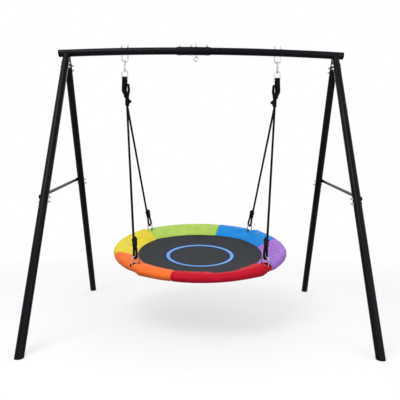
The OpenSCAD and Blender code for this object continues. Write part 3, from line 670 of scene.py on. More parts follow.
def makeFoamAndShadeFinish(size):
    material, tree, shader = newFinish("dark_foam_and_painted_shade")
    cloud = noise(tree, objectPlace(tree), *size["cloud"])
    paint(tree, shader, clouded(tree, cloud, size))
    bump(tree, shader, cloud, size["depth"], size["depthShare"])
    gloss(shader, **size["gloss"])
    return material


clothFinish = {name: makeOxford(name, code, oxford) for name, code in clothColours.items()}
threadFinish = {name: makeThread(name, code, sewingThread) for name, code in clothColours.items()}
foamAndShadeFinish = makeFoamAndShadeFinish(foamAndShadeLining)

# padded covers of the rim, each a closed pad, with a slit where a rim ring comes through
covers = {
    "seams": (-107, -42, 15, 73, 138, 198),  # degrees, each before the cover of the same index
    "columnStep": 0.25,
    "closeColumns": 64,  # extra ones on each side of a ring
    "rows": 116,
    "sectionSteps": (13, 60, 40),  # at the inner edge, over the crown and round the roll
    "outerRadius": 0.515,
    "roll": 0.025,
    "crownFrom": 0.511,
    "crownDrop": 0.047,
    "crownPower": 1.18,
    "innerRadius": 0.401,
    "edgeMiddle": -0.027,
    "edgeHalf": 0.005,
    "cornerPull": 0.08,  # inner edge wider at the rings, so that the mat has slight corners
    "pullMean": 1.1,
    "pullFades": (0.409, 0.475),
    "topFacing": (-0.2, 0.4),  # rise of the cloth between which it counts as the top
    "outFacing": (0.1, 0.7),
    "seamDepth": 0.0034,
    "seamWide": 0.0042,
    "seamReach": 0.02,
    "seamGather": 0.0006,
    "gatherAt": 0.008,  # from the seam
    "gatherWide": 0.008,
    "gatherStep": 0.015,
    "edgeGather": 0.0004,
    "edgeGatherAt": 0.010,  # from the inner edge
    "edgeGatherWide": 0.012,
    "edgeStep": 2.5,
    "puff": 0.0016,
    "calmFrom": 0.498,  # folds and swelling fade from here to the outer side
    "calmTo": 0.522,
    "calmShare": 0.75,
    "foamAt": 0.508,  # the cloth lies outside the foam of the rim
    "foamKeep": 0.0224,
}
slits = {
    "from": 0.476,
    "rollAngle": 80.0,
    "halfAway": 0.0240,
    "halfNear": 0.0060,
    "innerShare": 0.35,
    "widens": (-0.8, 0.6),
    "spread": 0.014,
    "reach": (0.42, 0.47),
    "hem": ((0.0006, 0.0010), (0.0040, 0.0006), (0.0120, 0.0000)),  # depth and inwards
    "cinchDepth": 0.0025,
    "cinchWide": 0.030,
    # how far from each ring the cloth folds over, towards the front on the left and the right
    "folds": {-135: (0.056,), -45: (0.024, 0.049), 45: (0.034, 0.056), 135: (0.047,)},
    "foldDepth": 0.0140,
    "foldWide": 0.0042,
    "foldBack": 0.002,
    "foldSlant": 0.25,
    "foldStep": 0.0068,
    "foldRise": (-0.001, 0.004),
    "foldSlide": 0.0085,
    "slideAt": 0.004,
    "slideWide": 0.006,
    "foldFade": 0.080,
    "foldReach": 0.4,
    "puckers": 9,
    "puckerTurn": 0.7,
    "puckerFrom": (0.014, 0.03),
    "puckerHigh": 0.0022,
    "puckerReach": 0.050,
}
wrinkles = {
    "spacing": 7.4,
    "slant": 26.0,
    "slantFrom": 0.46,
    "reach": (0.41, 0.44),
    "high": 0.0007,
    "purple": 0.0040,
    "noiseSize": 0.055,
    "noiseHigh": 0.0007,
    "noiseShift": 7.3,
    "fineScale": 2.1,
    "fineShare": 0.5,
}
swelling = {
    "columnStep": 1.25,
    "rows": 58,
    "frames": 18,
    "pressure": 3.0,
    "spare": 0.028,
    "cap": 0.0045,
    "heldUnder": -0.02,
    "heldEdge": 0.006,
}
colourNames = list(clothColours)


def hump(x, wide):
    return np.exp(-((x / wide) ** 2))


def coverSection(size, rows):
    # closed outline from the inner edge over the crown, round the roll and back underneath
    noseSteps, fallSteps, rollSteps = size["sectionSteps"]
    nose = np.radians(np.linspace(-90, -270, noseSteps))
    fall = np.linspace(1, 0, fallSteps)[1:]
    roll = np.radians(np.linspace(90, -90, rollSteps))
    wide = size["crownFrom"] - size["innerRadius"]
    r = np.concatenate(
        [
            size["innerRadius"] + size["edgeHalf"] * np.cos(nose),
            size["crownFrom"] - wide * fall,
            size["outerRadius"] + size["roll"] * np.cos(roll),
        ]
    )
    z = np.concatenate(
        [
            size["edgeMiddle"] + size["edgeHalf"] * np.sin(nose),
            size["roll"] - size["crownDrop"] * fall ** size["crownPower"],
            size["roll"] * np.sin(roll),
        ]
    )
    outline = np.stack([r, z, 0 * r], 1)
    outline = np.concatenate([outline, outline[:1]])
    length = np.linalg.norm(np.diff(outline, axis=0), axis=1).sum()
    return resample(outline, length / rows)[:rows, :2], length


def calmOutside(r, size):
    return 1 - size["calmShare"] * smoothStep(size["calmFrom"], size["calmTo"], r)


def edgeRadius(angle, size):
    # angle from the nearest straight side of the mat
    side = np.radians((np.degrees(angle) + 45) % 90 - 45)
    return size["innerRadius"] * (1 + size["cornerPull"] * (1 / np.cos(side) - size["pullMean"]))


def coverAngles(index, step, size, close=False):
    # columns of a cover, with more of them by its ring when close
    seams = size["seams"] + (size["seams"][0] + 360,)
    low, high = seams[index], seams[index + 1]
    degrees = np.linspace(low, high, round((high - low) / step) + 1)
    extra = np.arange(-size["closeColumns"], size["closeColumns"] + 1) * step / 2
    for ring in slits["folds"] if close else ():
        near = low + (ring - low) % 360 + extra
        degrees = np.concatenate([degrees, near[(near > low) & (near < high)]])
    return np.radians(np.unique(np.round(degrees, 6)))


def sectionRise(section):
    # outward direction at each point of the section
    tangent = unit(np.roll(section, -1, 0) - np.roll(section, 1, 0))
    return np.stack([-tangent[:, 1], tangent[:, 0]], 1)


def padGrid(angle, section, size):
    # points, outward directions and radii before any fold
    rise = sectionRise(section)
    r = np.repeat(section[None, :, 0], len(angle), 0)
    z = np.repeat(section[None, :, 1], len(angle), 0)
    fade = 1 - smoothStep(*size["pullFades"], r)
    r = r + (edgeRadius(angle, size)[:, None] - size["innerRadius"]) * fade
    cos, sin = np.cos(angle)[:, None], np.sin(angle)[:, None]
    points = np.stack([r * cos, r * sin, z], -1)
    out = (rise[None, :, 0] * cos, rise[None, :, 0] * sin, rise[None, :, 1])
    out = np.stack(np.broadcast_arrays(*out), -1)
    return points, out, r


def padFaces(number, before):
    # before holds the corners for the faces before each column
    columns, rows = number.shape[0] - 1, number.shape[1]
    faces = []
    for column in range(columns):
        after = before[column + 1]
        for row in range(rows):
            up = (row + 1) % rows
            faces.append((number[column, row], after[row], after[up], number[column, up]))
    return faces + [tuple(number[0][::-1]), tuple(number[columns])]


def outwards(obj):
    bm = bmesh.new()
    bm.from_mesh(obj.data)
    bmesh.ops.recalc_face_normals(bm, faces=bm.faces)
    bm.to_mesh(obj.data)
    bm.free()


def swollen(index, size, sim):
    # how the pad's cloth moves when it is filled and a little too large for its form
    angle = coverAngles(index, sim["columnStep"], size)
    section, _ = coverSection(size, sim["rows"])
    points, _, _ = padGrid(angle, section, size)
    number = np.arange(points.shape[0] * sim["rows"]).reshape(-1, sim["rows"])
    pad = meshObject("swelling_pad", points.reshape(-1, 3), padFaces(number, number), foamAndShadeFinish)
    outwards(pad)
    held = pad.vertex_groups.new(name="held")
    under = section[:, 1] < sim["heldUnder"]
    edge = section[:, 0] < size["innerRadius"] + sim["heldEdge"]
    pins = np.concatenate([number[[0, -1]].ravel(), number[:, under].ravel(), number[:, edge].ravel()])
    held.add([int(i) for i in pins], 1.0, "REPLACE")
    cloth = pad.modifiers.new("cloth", "CLOTH")
    cloth.settings.use_pressure = True
    cloth.settings.uniform_pressure_force = sim["pressure"]
    cloth.settings.shrink_min = -sim["spare"]
    cloth.settings.vertex_group_mass = "held"
    cloth.settings.effector_weights.gravity = 0
    cloth.collision_settings.use_collision = False
    cloth.point_cache.frame_end = sim["frames"]
    scene = bpy.context.scene
    for step in range(1, sim["frames"] + 1):
        scene.frame_set(step)
    graph = bpy.context.evaluated_depsgraph_get()
    result = pad.evaluated_get(graph).to_mesh()
    moved = np.zeros(len(result.vertices) * 3)
    result.vertices.foreach_get("co", moved)
    moved = moved.reshape(points.shape) - points
    scene.frame_set(1)
    bpy.data.objects.remove(pad)
    far = np.linalg.norm(moved, axis=-1, keepdims=True)
    return moved * np.minimum(1, sim["cap"] / np.maximum(far, 1e-9))


def finer(field, angle, rows):
    # the same field on a finer grid, closed along its rows
    field = np.concatenate([field, field[:, :1]], 1)
    at = (angle - angle[0]) / (angle[-1] - angle[0]) * (field.shape[0] - 1)
    low = np.minimum(at.astype(int), field.shape[0] - 2)
    share = (at - low)[:, None, None]
    field = field[low] * (1 - share) + field[low + 1] * share
    at = np.arange(rows) * (field.shape[1] - 1) / rows
    low = at.astype(int)
    share = (at - low)[None, :, None]
    return field[:, low] * (1 - share) + field[:, low + 1] * share


def softNoise(points, seed):
    shift = Vector((seed * wrinkles["noiseShift"], 0, 0))
    spots = [Vector(p) / wrinkles["noiseSize"] + shift for p in points.reshape(-1, 3)]
    fine, share = wrinkles["fineScale"], wrinkles["fineShare"]
    values = [softField.noise(p) + share * softField.noise(p * fine) for p in spots]
    return np.array(values).reshape(points.shape[:-1])


def coverRelief(index, angle, points, r, rise, length, size):
    # height of seams, gathers, wrinkles and folds over the plain pad, and the cloth's slide along the rim
    along = np.linspace(0, length, r.shape[1])[None]
    fromSeam = np.minimum(angle - angle[0], angle[-1] - angle)[:, None] * size["outerRadius"]
    body = 1 - hump(fromSeam, size["seamReach"])
    top = smoothStep(*size["topFacing"], rise[:, 1])[None]
    upper = np.maximum(top, smoothStep(*size["outFacing"], rise[:, 0])[None])
    high = size["puff"] * body * upper - size["seamDepth"] * hump(fromSeam, size["seamWide"])
    gather = np.cos(2 * np.pi * along / size["gatherStep"])
    high = high + size["seamGather"] * gather * hump(fromSeam - size["gatherAt"], size["gatherWide"])
    turn = np.degrees(angle)[:, None]
    edge = hump(r - size["innerRadius"] - size["edgeGatherAt"], size["edgeGatherWide"])
    edge = np.cos(2 * np.pi * turn / size["edgeStep"]) * edge * top
    high = high + size["edgeGather"] * edge * body
    amount = wrinkles["purple"] if colourNames[index] == "purple" else wrinkles["high"]
    phase = turn / wrinkles["spacing"] + (r - wrinkles["slantFrom"]) * wrinkles["slant"]
    ridge = np.maximum(0, np.cos(2 * np.pi * phase)) ** 2
    loose = upper * body * calmOutside(r, size)
    high = high + amount * ridge * loose * smoothStep(*wrinkles["reach"], r)
    high = high + wrinkles["noiseHigh"] * softNoise(points, index) * loose
    slide = np.zeros_like(high)
    off = r - size["crownFrom"]
    reach = smoothStep(*slits["reach"], r)
    for ring, folds in slits["folds"].items():
        gap = (angle - math.radians(ring) + np.pi) % (2 * np.pi) - np.pi
        across = gap[:, None] * r
        high = high - slits["cinchDepth"] * hump(across, slits["cinchWide"]) * reach
        way = 1 if math.cos(math.radians(ring)) < 0 else -1
        share = reach / len(folds) ** 0.5 * (abs(across) < slits["foldReach"])
        for fold in folds:
            past = way * across - fold - slits["foldSlant"] * np.minimum(off, 0)
            proud = np.exp(-np.maximum(past, 0) / slits["foldFade"])
            proud = smoothStep(*slits["foldRise"], past) * proud
            dip = slits["foldDepth"] * hump(past + slits["foldBack"], slits["foldWide"])
            high = high + share * (slits["foldStep"] * proud - dip)
            drag = hump(past - slits["slideAt"], slits["slideWide"])
            slide = slide - way * share * slits["foldSlide"] * drag
        spin = np.arctan2(across, off)
        away = np.hypot(across, off)
        fan = np.cos(slits["puckers"] * spin + slits["puckerTurn"]) * smoothStep(*slits["puckerFrom"], away)
        high = high + slits["puckerHigh"] * fan * hump(away, slits["puckerReach"]) * top
    return high, slide


def openSlit(flat, number, angle, section, column):
    # parts the cloth along one column of the grid, returns the rows and the far side's points
    rollTop = covers["roll"] * math.cos(math.radians(slits["rollAngle"]))
    rows = np.where((section[:, 1] >= rollTop) & (section[:, 0] >= slits["from"]))[0]
    t = np.linspace(-1, 1, len(rows))
    wider = slits["innerShare"] + (1 - slits["innerShare"]) * smoothStep(*slits["widens"], t)
    shape = np.sqrt(np.maximum(0, 1 - t**2)) * wider
    leftSide = math.cos(angle[column]) < 0
    ahead = slits["halfNear" if leftSide else "halfAway"] * shape
    behind = slits["halfAway" if leftSide else "halfNear"] * shape
    aside = np.array([-math.sin(angle[column]), math.cos(angle[column]), 0])
    far = []
    for k, row in enumerate(rows):
        gap = (angle - angle[column]) * section[row, 0]
        move = np.where(gap > 0, ahead[k], -behind[k]) * (gap != 0)
        move = move * np.exp(-abs(gap) / slits["spread"])
        flat[number[:, row]] += move[:, None] * aside
        if 0 < k < len(rows) - 1:
            far.append(flat[number[column, row]] - behind[k] * aside)
            flat[number[column, row]] += ahead[k] * aside
    return rows, np.array(far)


def hemSlit(flat, uv, faces, rim, rimOut):
    # turns the slit's edge in and closes its bottom, also returns the number of faces that show
    count, loop = len(rim), rim
    base = flat[rim]
    towards = unit(base.mean(0) - base + 1e-9)
    outside = len(faces) + count
    for depth, inwards in slits["hem"]:
        fresh = list(range(len(flat), len(flat) + count))
        flat = np.concatenate([flat, base - rimOut * depth + towards * inwards])
        uv = np.concatenate([uv, uv[rim] + depth])
        for k in range(count):
            m = (k + 1) % count
            faces.append((loop[k], loop[m], fresh[m], fresh[k]))
        loop = fresh
    for k in range(count // 2):
        corners = (k, k + 1, (count - k - 1) % count, (count - k) % count)
        faces.append(tuple(dict.fromkeys(loop[c] for c in corners)))
    return flat, uv, outside


def overFoam(points, size):
    # pushes what is inside the foam's round section out to its skin
    r = np.hypot(points[..., 0], points[..., 1])
    away = np.hypot(r - size["foamAt"], points[..., 2])
    grow = np.maximum(1, size["foamKeep"] / np.maximum(away, 1e-6))
    wider = (size["foamAt"] + (r - size["foamAt"]) * grow) / r
    return np.stack([points[..., 0] * wider, points[..., 1] * wider, points[..., 2] * grow], -1)


def coverMesh(index, size):
    angle = coverAngles(index, size["columnStep"], size, close=True)
    section, length = coverSection(size, size["rows"])
    points, out, r = padGrid(angle, section, size)
    high, slide = coverRelief(index, angle, points, r, sectionRise(section), length, size)
    along = np.stack([-np.sin(angle), np.cos(angle), 0 * angle], 1)[:, None]
    points = points + out * high[..., None] + along * slide[..., None]
    swell = finer(swollen(index, size, swelling), angle, size["rows"])
    points = overFoam(points + swell * calmOutside(r, size)[..., None], size)
    number = np.arange(len(angle) * size["rows"]).reshape(-1, size["rows"])
    flat = points.reshape(-1, 3).copy()
    around = angle[:, None] * size["outerRadius"]
    over = np.linspace(0, length, size["rows"])[None]
    uv = np.stack(np.broadcast_arrays(around, over), -1).reshape(-1, 2)
    before = number.copy()  # corners for the faces before a column, other copies where it is slit
    rings = [math.radians(a) for a in slits["folds"]]
    gaps = [abs((angle - a + np.pi) % (2 * np.pi) - np.pi) for a in rings]
    slit = next((int(np.argmin(g)) for g in gaps if g.min() < 1e-6), None)
    if slit is not None:
        slitRows, far = openSlit(flat, number, angle, section, slit)
        inner = slitRows[1:-1]
        before[slit, inner] = len(flat) + np.arange(len(inner))
        flat = np.concatenate([flat, far])
        uv = np.concatenate([uv, uv[number[slit, inner]]])
    faces = padFaces(number, before)
    outside = len(faces)
    if slit is not None:
        rim = list(number[slit, slitRows]) + list(before[slit, inner][::-1])
        rimOut = np.concatenate([out[slit, slitRows], out[slit, inner][::-1]])
        flat, uv, outside = hemSlit(flat, uv, faces, rim, rimOut)
    return flat, faces, uv, outside, points, out


def sewCovers(size):
    grids = {}
    for index, name in enumerate(colourNames):
        points, faces, uv, outside, grid, out = coverMesh(index, size)
        piece = meshObject(f"cover_{name}_pad", inSaucer(points), faces, clothFinish[name], uv)
        # the turned-in hem faces of each slit get the near-black finish: dark foam and painted shade inside
        # the slit
        piece.data.materials.append(foamAndShadeFinish)
        inside = np.arange(len(faces)) >= outside
        piece.data.polygons.foreach_set("material_index", inside.astype(np.int32))
        outwards(piece)
        settle(piece, "saucer", f"cover_{name}")
        grids[name] = (grid, out)
        print("cover", name, len(points), "points")
    return grids


coverGrids = sewCovers(covers)

# mat: woven sheet stretched in the rim, with a plain printed ring and a dark binding at its edge
mat = {
    "radius": 0.419,
    "cut": 0.431,
    "middle": -0.057,
    "rise": 0.030,
    "riseAt": 0.401,
    "thick": 0.002,
    "spokes": 128,
    "rings": 40,
    "colour": "#2e3135",
    "cloudColour": "#37393e",
    "cloud": (11, 5, 0.6),
    "mixSpan": (0.35, 0.7),
    "rough": (0.6, 0.78),
    "printFrom": 0.194,
    "printTo": 0.2155,
    "printSoft": 0.0006,
    "printColour": "#80ade8",
    "outline": 0.0145,
    "outlineColour": "#12305c",
    "thread": 0.0024,
    "depth": 0.0004,
    "depthShare": 0.7,
    "threadShadeColour": "#0c0c0d",  # painted shade between the threads
    "threadShadeShare": 0.3,
    "threadShadeSpan": (0, 0.9),
    "gloss": {"Specular_IOR_Level": 0.06},
}
binding = {
    # section round the covers' inner edge, outwards from it and up, closed
    "section": (
        (0.0015, -0.0246),
        (0.0005, -0.0243),
        (-0.0010, -0.0243),
        (-0.0048, -0.0250),
        (-0.0066, -0.0280),
        (-0.0048, -0.0312),
        (-0.0010, -0.0330),
        (0.0100, -0.0334),
        (0.0100, -0.0320),
        (0.0000, -0.0316),
        (-0.0044, -0.0280),
        (-0.0010, -0.0256),
        (0.0015, -0.0258),
    ),
    "columns": 360,
    "around": 0.05,
    "colour": "#0d0d0e",
    "cloudColour": "#1c1c1e",
    "cloud": (90, 3),
    "rib": 0.0012,
    "ribDepth": 0.0002,
    "ribShare": 0.6,
    "gloss": {"Roughness": 0.8, "Specular_IOR_Level": 0.08},
}


def makeMatWeave(size):
    material, tree, shader = newFinish("woven_mat")
    place = uvPlace(tree)
    weave = weaveHeight(tree, place, size["thread"])
    cloud = noise(tree, objectPlace(tree), *size["cloud"])
    base = clouded(tree, cloud, size)
    radius = addNode(tree, "ShaderNodeVectorMath", {0: place}, operation="LENGTH").outputs["Value"]
    soft = size["printSoft"]

    def band(low, high):
        inner = spread(tree, radius, 0, 1, low - soft, low + soft)
        outer = spread(tree, radius, 1, 0, high - soft, high + soft)
        return maths(tree, "MULTIPLY", inner, outer)

    dark = band(size["printFrom"] - size["outline"], size["printTo"] + size["outline"])
    base = mixColour(tree, dark, base, shade(size["outlineColour"]))
    base = mixColour(tree, band(size["printFrom"], size["printTo"]), base, shade(size["printColour"]))
    # painted shade: the mat's colour darkens towards near black where the weave is low, between the threads
    factor = spread(tree, weave, size["threadShadeShare"], 0, *size["threadShadeSpan"])
    threadShaded = mixColour(tree, factor, base, shade(size["threadShadeColour"]))
    paint(tree, shader, threadShaded, spread(tree, cloud, *size["rough"]))
    bump(tree, shader, weave, size["depth"], size["depthShare"])
    gloss(shader, **size["gloss"])
    return material


def makeWebbing(size):
    material, tree, shader = newFinish("black_webbing")
    split = addNode(tree, "ShaderNodeSeparateXYZ", {"Vector": uvPlace(tree)})
    rib = maths(tree, "SINE", maths(tree, "MULTIPLY", split.outputs["X"], 2 * math.pi / size["rib"]))
    cloud = noise(tree, objectPlace(tree), *size["cloud"])
    paint(tree, shader, clouded(tree, cloud, size))
    bump(tree, shader, rib, size["ribDepth"], size["ribShare"])
    gloss(shader, **size["gloss"])
    return material


def bindEdge(size):
    angle = np.linspace(0, 2 * np.pi, size["columns"], endpoint=False)
    edge = edgeRadius(angle, covers)
    section = np.array(size["section"])
    r = edge[:, None] + section[None, :, 0]
    z = np.broadcast_to(section[None, :, 1], r.shape)
    points = np.stack([r * np.cos(angle)[:, None], r * np.sin(angle)[:, None], z], -1)
    faces = tubeFaces(size["columns"], len(section), closed=True)
    along = (angle * covers["innerRadius"])[:, None]
    across = np.linspace(0, size["around"], len(section))[None]
    uv = np.stack(np.broadcast_arrays(along, across), -1).reshape(-1, 2)
    piece = meshObject("mat_binding", inSaucer(points.reshape(-1, 3)), faces, makeWebbing(size), uv)
    outwards(piece)
    settle(piece, "saucer")
    return piece


def stretchMat(size):
    points, uv, faces = [(0, 0, size["middle"])], [(0, 0)], []
    n = size["spokes"]
    for k in range(1, size["rings"] + 1):
        r = size["radius"] * k / size["rings"]
        z = size["middle"] + size["rise"] * (r / size["riseAt"]) ** 2
        for j in range(n):
            a = 2 * math.pi * j / n
            x, y = r * math.cos(a), r * math.sin(a)
            points.append((x, y, z))
            uv.append((x, y))
    for j in range(n):
        faces.append((0, 1 + j, 1 + (j + 1) % n))
    for k in range(size["rings"] - 1):
        a = 1 + k * n
        for j in range(n):
            m = (j + 1) % n
            faces.append((a + j, a + n + j, a + n + m, a + m))
    piece = meshObject("mat_sheet", inSaucer(points), faces, makeMatWeave(size), uv)
    made = piece.modifiers.new("thickness", "SOLIDIFY")
    made.thickness = size["thick"]
    made.offset = 0
    settle(piece, "saucer", "mat")
    hem = bindEdge(binding)


stretchMat(mat)
print("mat stretched and bound")


# Geometry Nodes for what repeats
def newTree(name, **sockets):
    tree = bpy.data.node_groups.new(name, "GeometryNodeTree")
    tree.interface.new_socket("Geometry", in_out="OUTPUT", socket_type="NodeSocketGeometry")
    tree.interface.new_socket("Geometry", in_out="INPUT", socket_type="NodeSocketGeometry")
    names = {}
    for label, kind in sockets.items():
        item = tree.interface.new_socket(label, in_out="INPUT", socket_type="NodeSocket" + kind)
        names[label] = item.identifier
    return tree, tree.nodes.new("NodeGroupInput").outputs, names


def endTree(tree, geometry, material):
    whole = addNode(tree, "GeometryNodeRealizeInstances", {"Geometry": geometry}).outputs[0]
    inputs = {"Geometry": whole, "Material": material}
    painted = addNode(tree, "GeometryNodeSetMaterial", inputs).outputs[0]
    addNode(tree, "NodeGroupOutput", {"Geometry": painted})


def runTree(name, source, tree, names, **values):
    # the tree's result as a plain mesh, the source goes
    made = source.modifiers.new("nodes", "NODES")
    made.node_group = tree
    for label, value in values.items():
        made[names[label]] = value
    graph = bpy.context.evaluated_depsgraph_get()
    mesh = bpy.data.meshes.new_from_object(source.evaluated_get(graph), depsgraph=graph)
    mesh.name = name
    bpy.data.objects.remove(source)
    return link(bpy.data.objects.new(name, mesh))


def lineObject(name, lines):
    points = np.concatenate(lines)
    edges, start = [], 0
    for line in lines:
        edges += [(start + k, start + k + 1) for k in range(len(line) - 1)]
        start += len(line)
    mesh = bpy.data.meshes.new(name)
    mesh.from_pydata([tuple(p) for p in points], edges, [])
    return link(bpy.data.objects.new(name, mesh))


stitches = {
    "pitch": 0.0056,
    "length": 0.0040,
    "thickness": 0.0011,
    "lift": 0.0002,
    "seamColumns": 3,  # between a seam and its row of stitches
    "lowest": -0.0245,
    "edgeInset": 0.008,
}


def makeStitchTree():
    sizes = {"Pitch": "Float", "Length": "Float", "Thickness": "Float"}
    tree, given, names = newTree("stitch_row", **sizes, Thread="Material")
    curve = addNode(tree, "GeometryNodeMeshToCurve", {"Mesh": given["Geometry"]}).outputs[0]
    inputs = {"Curve": curve, "Length": given["Pitch"]}
    spaced = addNode(tree, "GeometryNodeResampleCurve", inputs, mode="LENGTH").outputs[0]
    tangent = addNode(tree, "GeometryNodeInputTangent").outputs[0]
    turn = addNode(tree, "FunctionNodeAlignRotationToVector", {"Vector": tangent}, axis="Z").outputs[0]
    bead = addNode(tree, "GeometryNodeMeshUVSphere", {"Segments": 6, "Rings": 4, "Radius": 0.5}).outputs[0]
    inputs = {"X": given["Thickness"], "Y": given["Thickness"], "Z": given["Length"]}
    size = addNode(tree, "ShaderNodeCombineXYZ", inputs).outputs[0]
    inputs = {"Points": spaced, "Instance": bead, "Rotation": turn, "Scale": size}
    endTree(tree, addNode(tree, "GeometryNodeInstanceOnPoints", inputs).outputs[0], given["Thread"])
    return tree, names


def stitchCovers(size):
    tree, names = makeStitchTree()
    section, _ = coverSection(covers, covers["rows"])
    inside = covers["innerRadius"] + size["edgeInset"]
    shown = np.where((section[:, 1] > size["lowest"]) & (section[:, 0] > inside))[0]
    edgeRow = shown[0] + 1
    inset = size["seamColumns"]
    values = {"Pitch": size["pitch"], "Length": size["length"], "Thickness": size["thickness"]}
    for name, (grid, out) in coverGrids.items():
        raised = grid + out * size["lift"]
        rows = [raised[inset, shown], raised[-1 - inset, shown], raised[inset:-inset, edgeRow]]
        source = lineObject("stitch_lines", [inSaucer(row) for row in rows])
        piece = runTree(f"stitches_{name}", source, tree, names, Thread=threadFinish[name], **values)
        settle(piece, "saucer")


stitchCovers(stitches)
print("covers stitched")

# fasteners: every nut and bolt of the CAD nodes, found by its place and direction
fasteners = {
    "acrossFlats": 0.013,
    "nutHeight": 0.0065,
    "nutSides": 24,
    "nutFace": 0.98,  # share of the flats that the end faces reach
    "bore": 1.02,
    "boreFlare": 1.08,
    "boreChamfer": 0.0004,
    "boltRadius": 0.004,
    "boltSides": 20,
    "headRadius": 0.0075,
    "headHeight": 0.0045,
    "headRim": 0.0012,
    "domeFrom": 0.02,
    "domeSteps": 9,
    "neckFall": 0.0005,
    "tipFall": 0.001,
    "tipShare": 0.7,
    "threadPitch": 0.00125,
    "threadDepth": 0.0006,
    "threadLength": 0.018,
    "threadSteps": 14,  # in each turn
    "threadWide": 0.9,
    "threadFrom": 0.001,
    "threadShort": 0.0028,
    "headWider": 1.3,  # tells a bolt's head from its shank
    "cornerShare": 0.85,
    "nuts": ("sleeve_nuts", "eye_bolt_nuts", "u_bolt_nuts", "socket_nuts", "joint_nuts"),
    "bolts": ("sleeve_bolts", "socket_bolts", "joint_bolts"),
    # name, node, radius, length and places in x of each threaded end
    "studs": (
        ("u_bolt_left_thread", "u_bolt_left", 0.00425, 0.013, (-0.505, -0.467)),
        ("u_bolt_right_thread", "u_bolt_right", 0.00425, 0.013, (0.467, 0.505)),
        ("eye_bolt_thread", "eye_bolt", 0.00375, 0.024, (-0.034,)),
    ),
}


def islands(node):
    bm = bmesh.new()
    bm.from_mesh(nodes[node].data)
    bmesh.ops.remove_doubles(bm, verts=bm.verts, dist=1e-6)
    left, found = set(bm.verts), []
    while left:
        stack, group = [left.pop()], []
        while stack:
            vert = stack.pop()
            group.append(vert.co[:])
            for edge in vert.link_edges:
                other = edge.other_vert(vert)
                if other in left:
                    left.remove(other)
                    stack.append(other)
        found.append(np.array(group))
    bm.free()
    return found


def latheShape(profile, around, radiusAt=None):
    # profile of radius and height from the axis round to the axis again or closed
    angle = np.linspace(0, 2 * np.pi, around, endpoint=False)
    rings = []
    for radius, height in profile:
        r = radiusAt(radius, angle) if radiusAt else np.full(around, radius)
        rings.append(np.stack([r * np.cos(angle), r * np.sin(angle), np.full(around, height)], 1))
    return np.concatenate(rings)


def nutPart(size):
    flat, high = size["acrossFlats"] / 2, size["nutHeight"]
    chamfer = flat * (1 / math.cos(math.pi / 6) - 1) * math.tan(math.pi / 6)
    bore = size["boltRadius"] * size["bore"]
    flare, face, edge = bore * size["boreFlare"], flat * size["nutFace"], size["boreChamfer"]
    profile = [(bore, edge), (flare, 0), (face, 0), (1, chamfer), (1, high - chamfer)]
    profile += [(face, high), (flare, high), (bore, high - edge)]

    def hexed(radius, angle):
        side = (angle + np.pi / 6) % (np.pi / 3) - np.pi / 6
        return np.minimum(radius, flat / np.cos(side))

    points = latheShape(profile, size["nutSides"], hexed)
    return points, tubeFaces(len(profile), size["nutSides"], closed=True)


def threadPoints(size, low, length, radius):
    # a ridge that winds up the shank
    turns = length / size["threadPitch"]
    angle = np.linspace(0, 2 * np.pi * turns, int(size["threadSteps"] * turns))
    height = low + length * np.linspace(0, 1, len(angle))
    root = radius - size["threadDepth"]
    points = []
    for a, z in zip(angle, height):
        for r, dz in ((root, -0.5), (radius, 0), (root, 0.5)):
            rise = dz * size["threadWide"] * size["threadPitch"]
            points.append((r * math.cos(a), r * math.sin(a), z + rise))
    return np.array(points), tubeFaces(len(angle), 3)


def boltPart(size, length):
    head, high, shank, rim = size["headRadius"], size["headHeight"], size["boltRadius"], size["headRim"]
    bend = np.linspace(size["domeFrom"], np.pi / 2, size["domeSteps"])
    profile = [(head * math.sin(a), -rim - (high - rim) * math.cos(a)) for a in bend]
    root = shank - size["threadDepth"]
    bare = length - size["threadLength"]
    profile += [(head, 0), (shank, 0), (shank, bare), (root, bare + size["neckFall"])]
    profile += [(root, length - size["tipFall"]), (root * size["tipShare"], length)]
    points = latheShape(profile, size["boltSides"])
    faces = tubeFaces(len(profile), size["boltSides"])
    wound = size["threadLength"] - size["threadShort"]
    ridge, ridgeFaces = threadPoints(size, bare + size["threadFrom"], wound, shank)
    faces += [tuple(i + len(points) for i in face) for face in ridgeFaces]
    return np.concatenate([points, ridge]), faces


def makePartTree():
    tree, given, names = newTree("placed_parts", Part="Object", Finish="Material")
    part = addNode(tree, "GeometryNodeObjectInfo", {"Object": given["Part"]}).outputs["Geometry"]
    place = {}
    for label in ("axis", "corner"):
        made = addNode(tree, "GeometryNodeInputNamedAttribute", {"Name": label}, data_type="FLOAT_VECTOR")
        place[label] = made.outputs["Attribute"]
    inputs = {"Primary Axis": place["axis"], "Secondary Axis": place["corner"]}
    axes = {"primary_axis": "Z", "secondary_axis": "X"}
    turn = addNode(tree, "FunctionNodeAxesToRotation", inputs, **axes).outputs[0]
    inputs = {"Points": given["Geometry"], "Instance": part, "Rotation": turn}
    endTree(tree, addNode(tree, "GeometryNodeInstanceOnPoints", inputs).outputs[0], given["Finish"])
    return tree, names


def placesObject(name, places):
    # points with the direction of each part's axis and of one of its corners
    mesh = bpy.data.meshes.new(name)
    mesh.from_pydata([tuple(p) for p, axis, corner in places], [], [])
    for k, label in ((1, "axis"), (2, "corner")):
        layer = mesh.attributes.new(label, "FLOAT_VECTOR", "POINT")
        layer.data.foreach_set("vector", np.array([p[k] for p in places], np.float32).ravel())
    return link(bpy.data.objects.new(name, mesh))


def placeParts(name, part, places, finish, smooth, partTree):
    points, faces = part
    shape = meshObject("part_shape", points, faces, finish)
    outwards(shape)
    shape.data.polygons.foreach_set("use_smooth", [smooth] * len(shape.data.polygons))
    tree, names = partTree
    piece = runTree(name, placesObject("part_places", places), tree, names, Part=shape, Finish=finish)
    bpy.data.objects.remove(shape)
    return piece


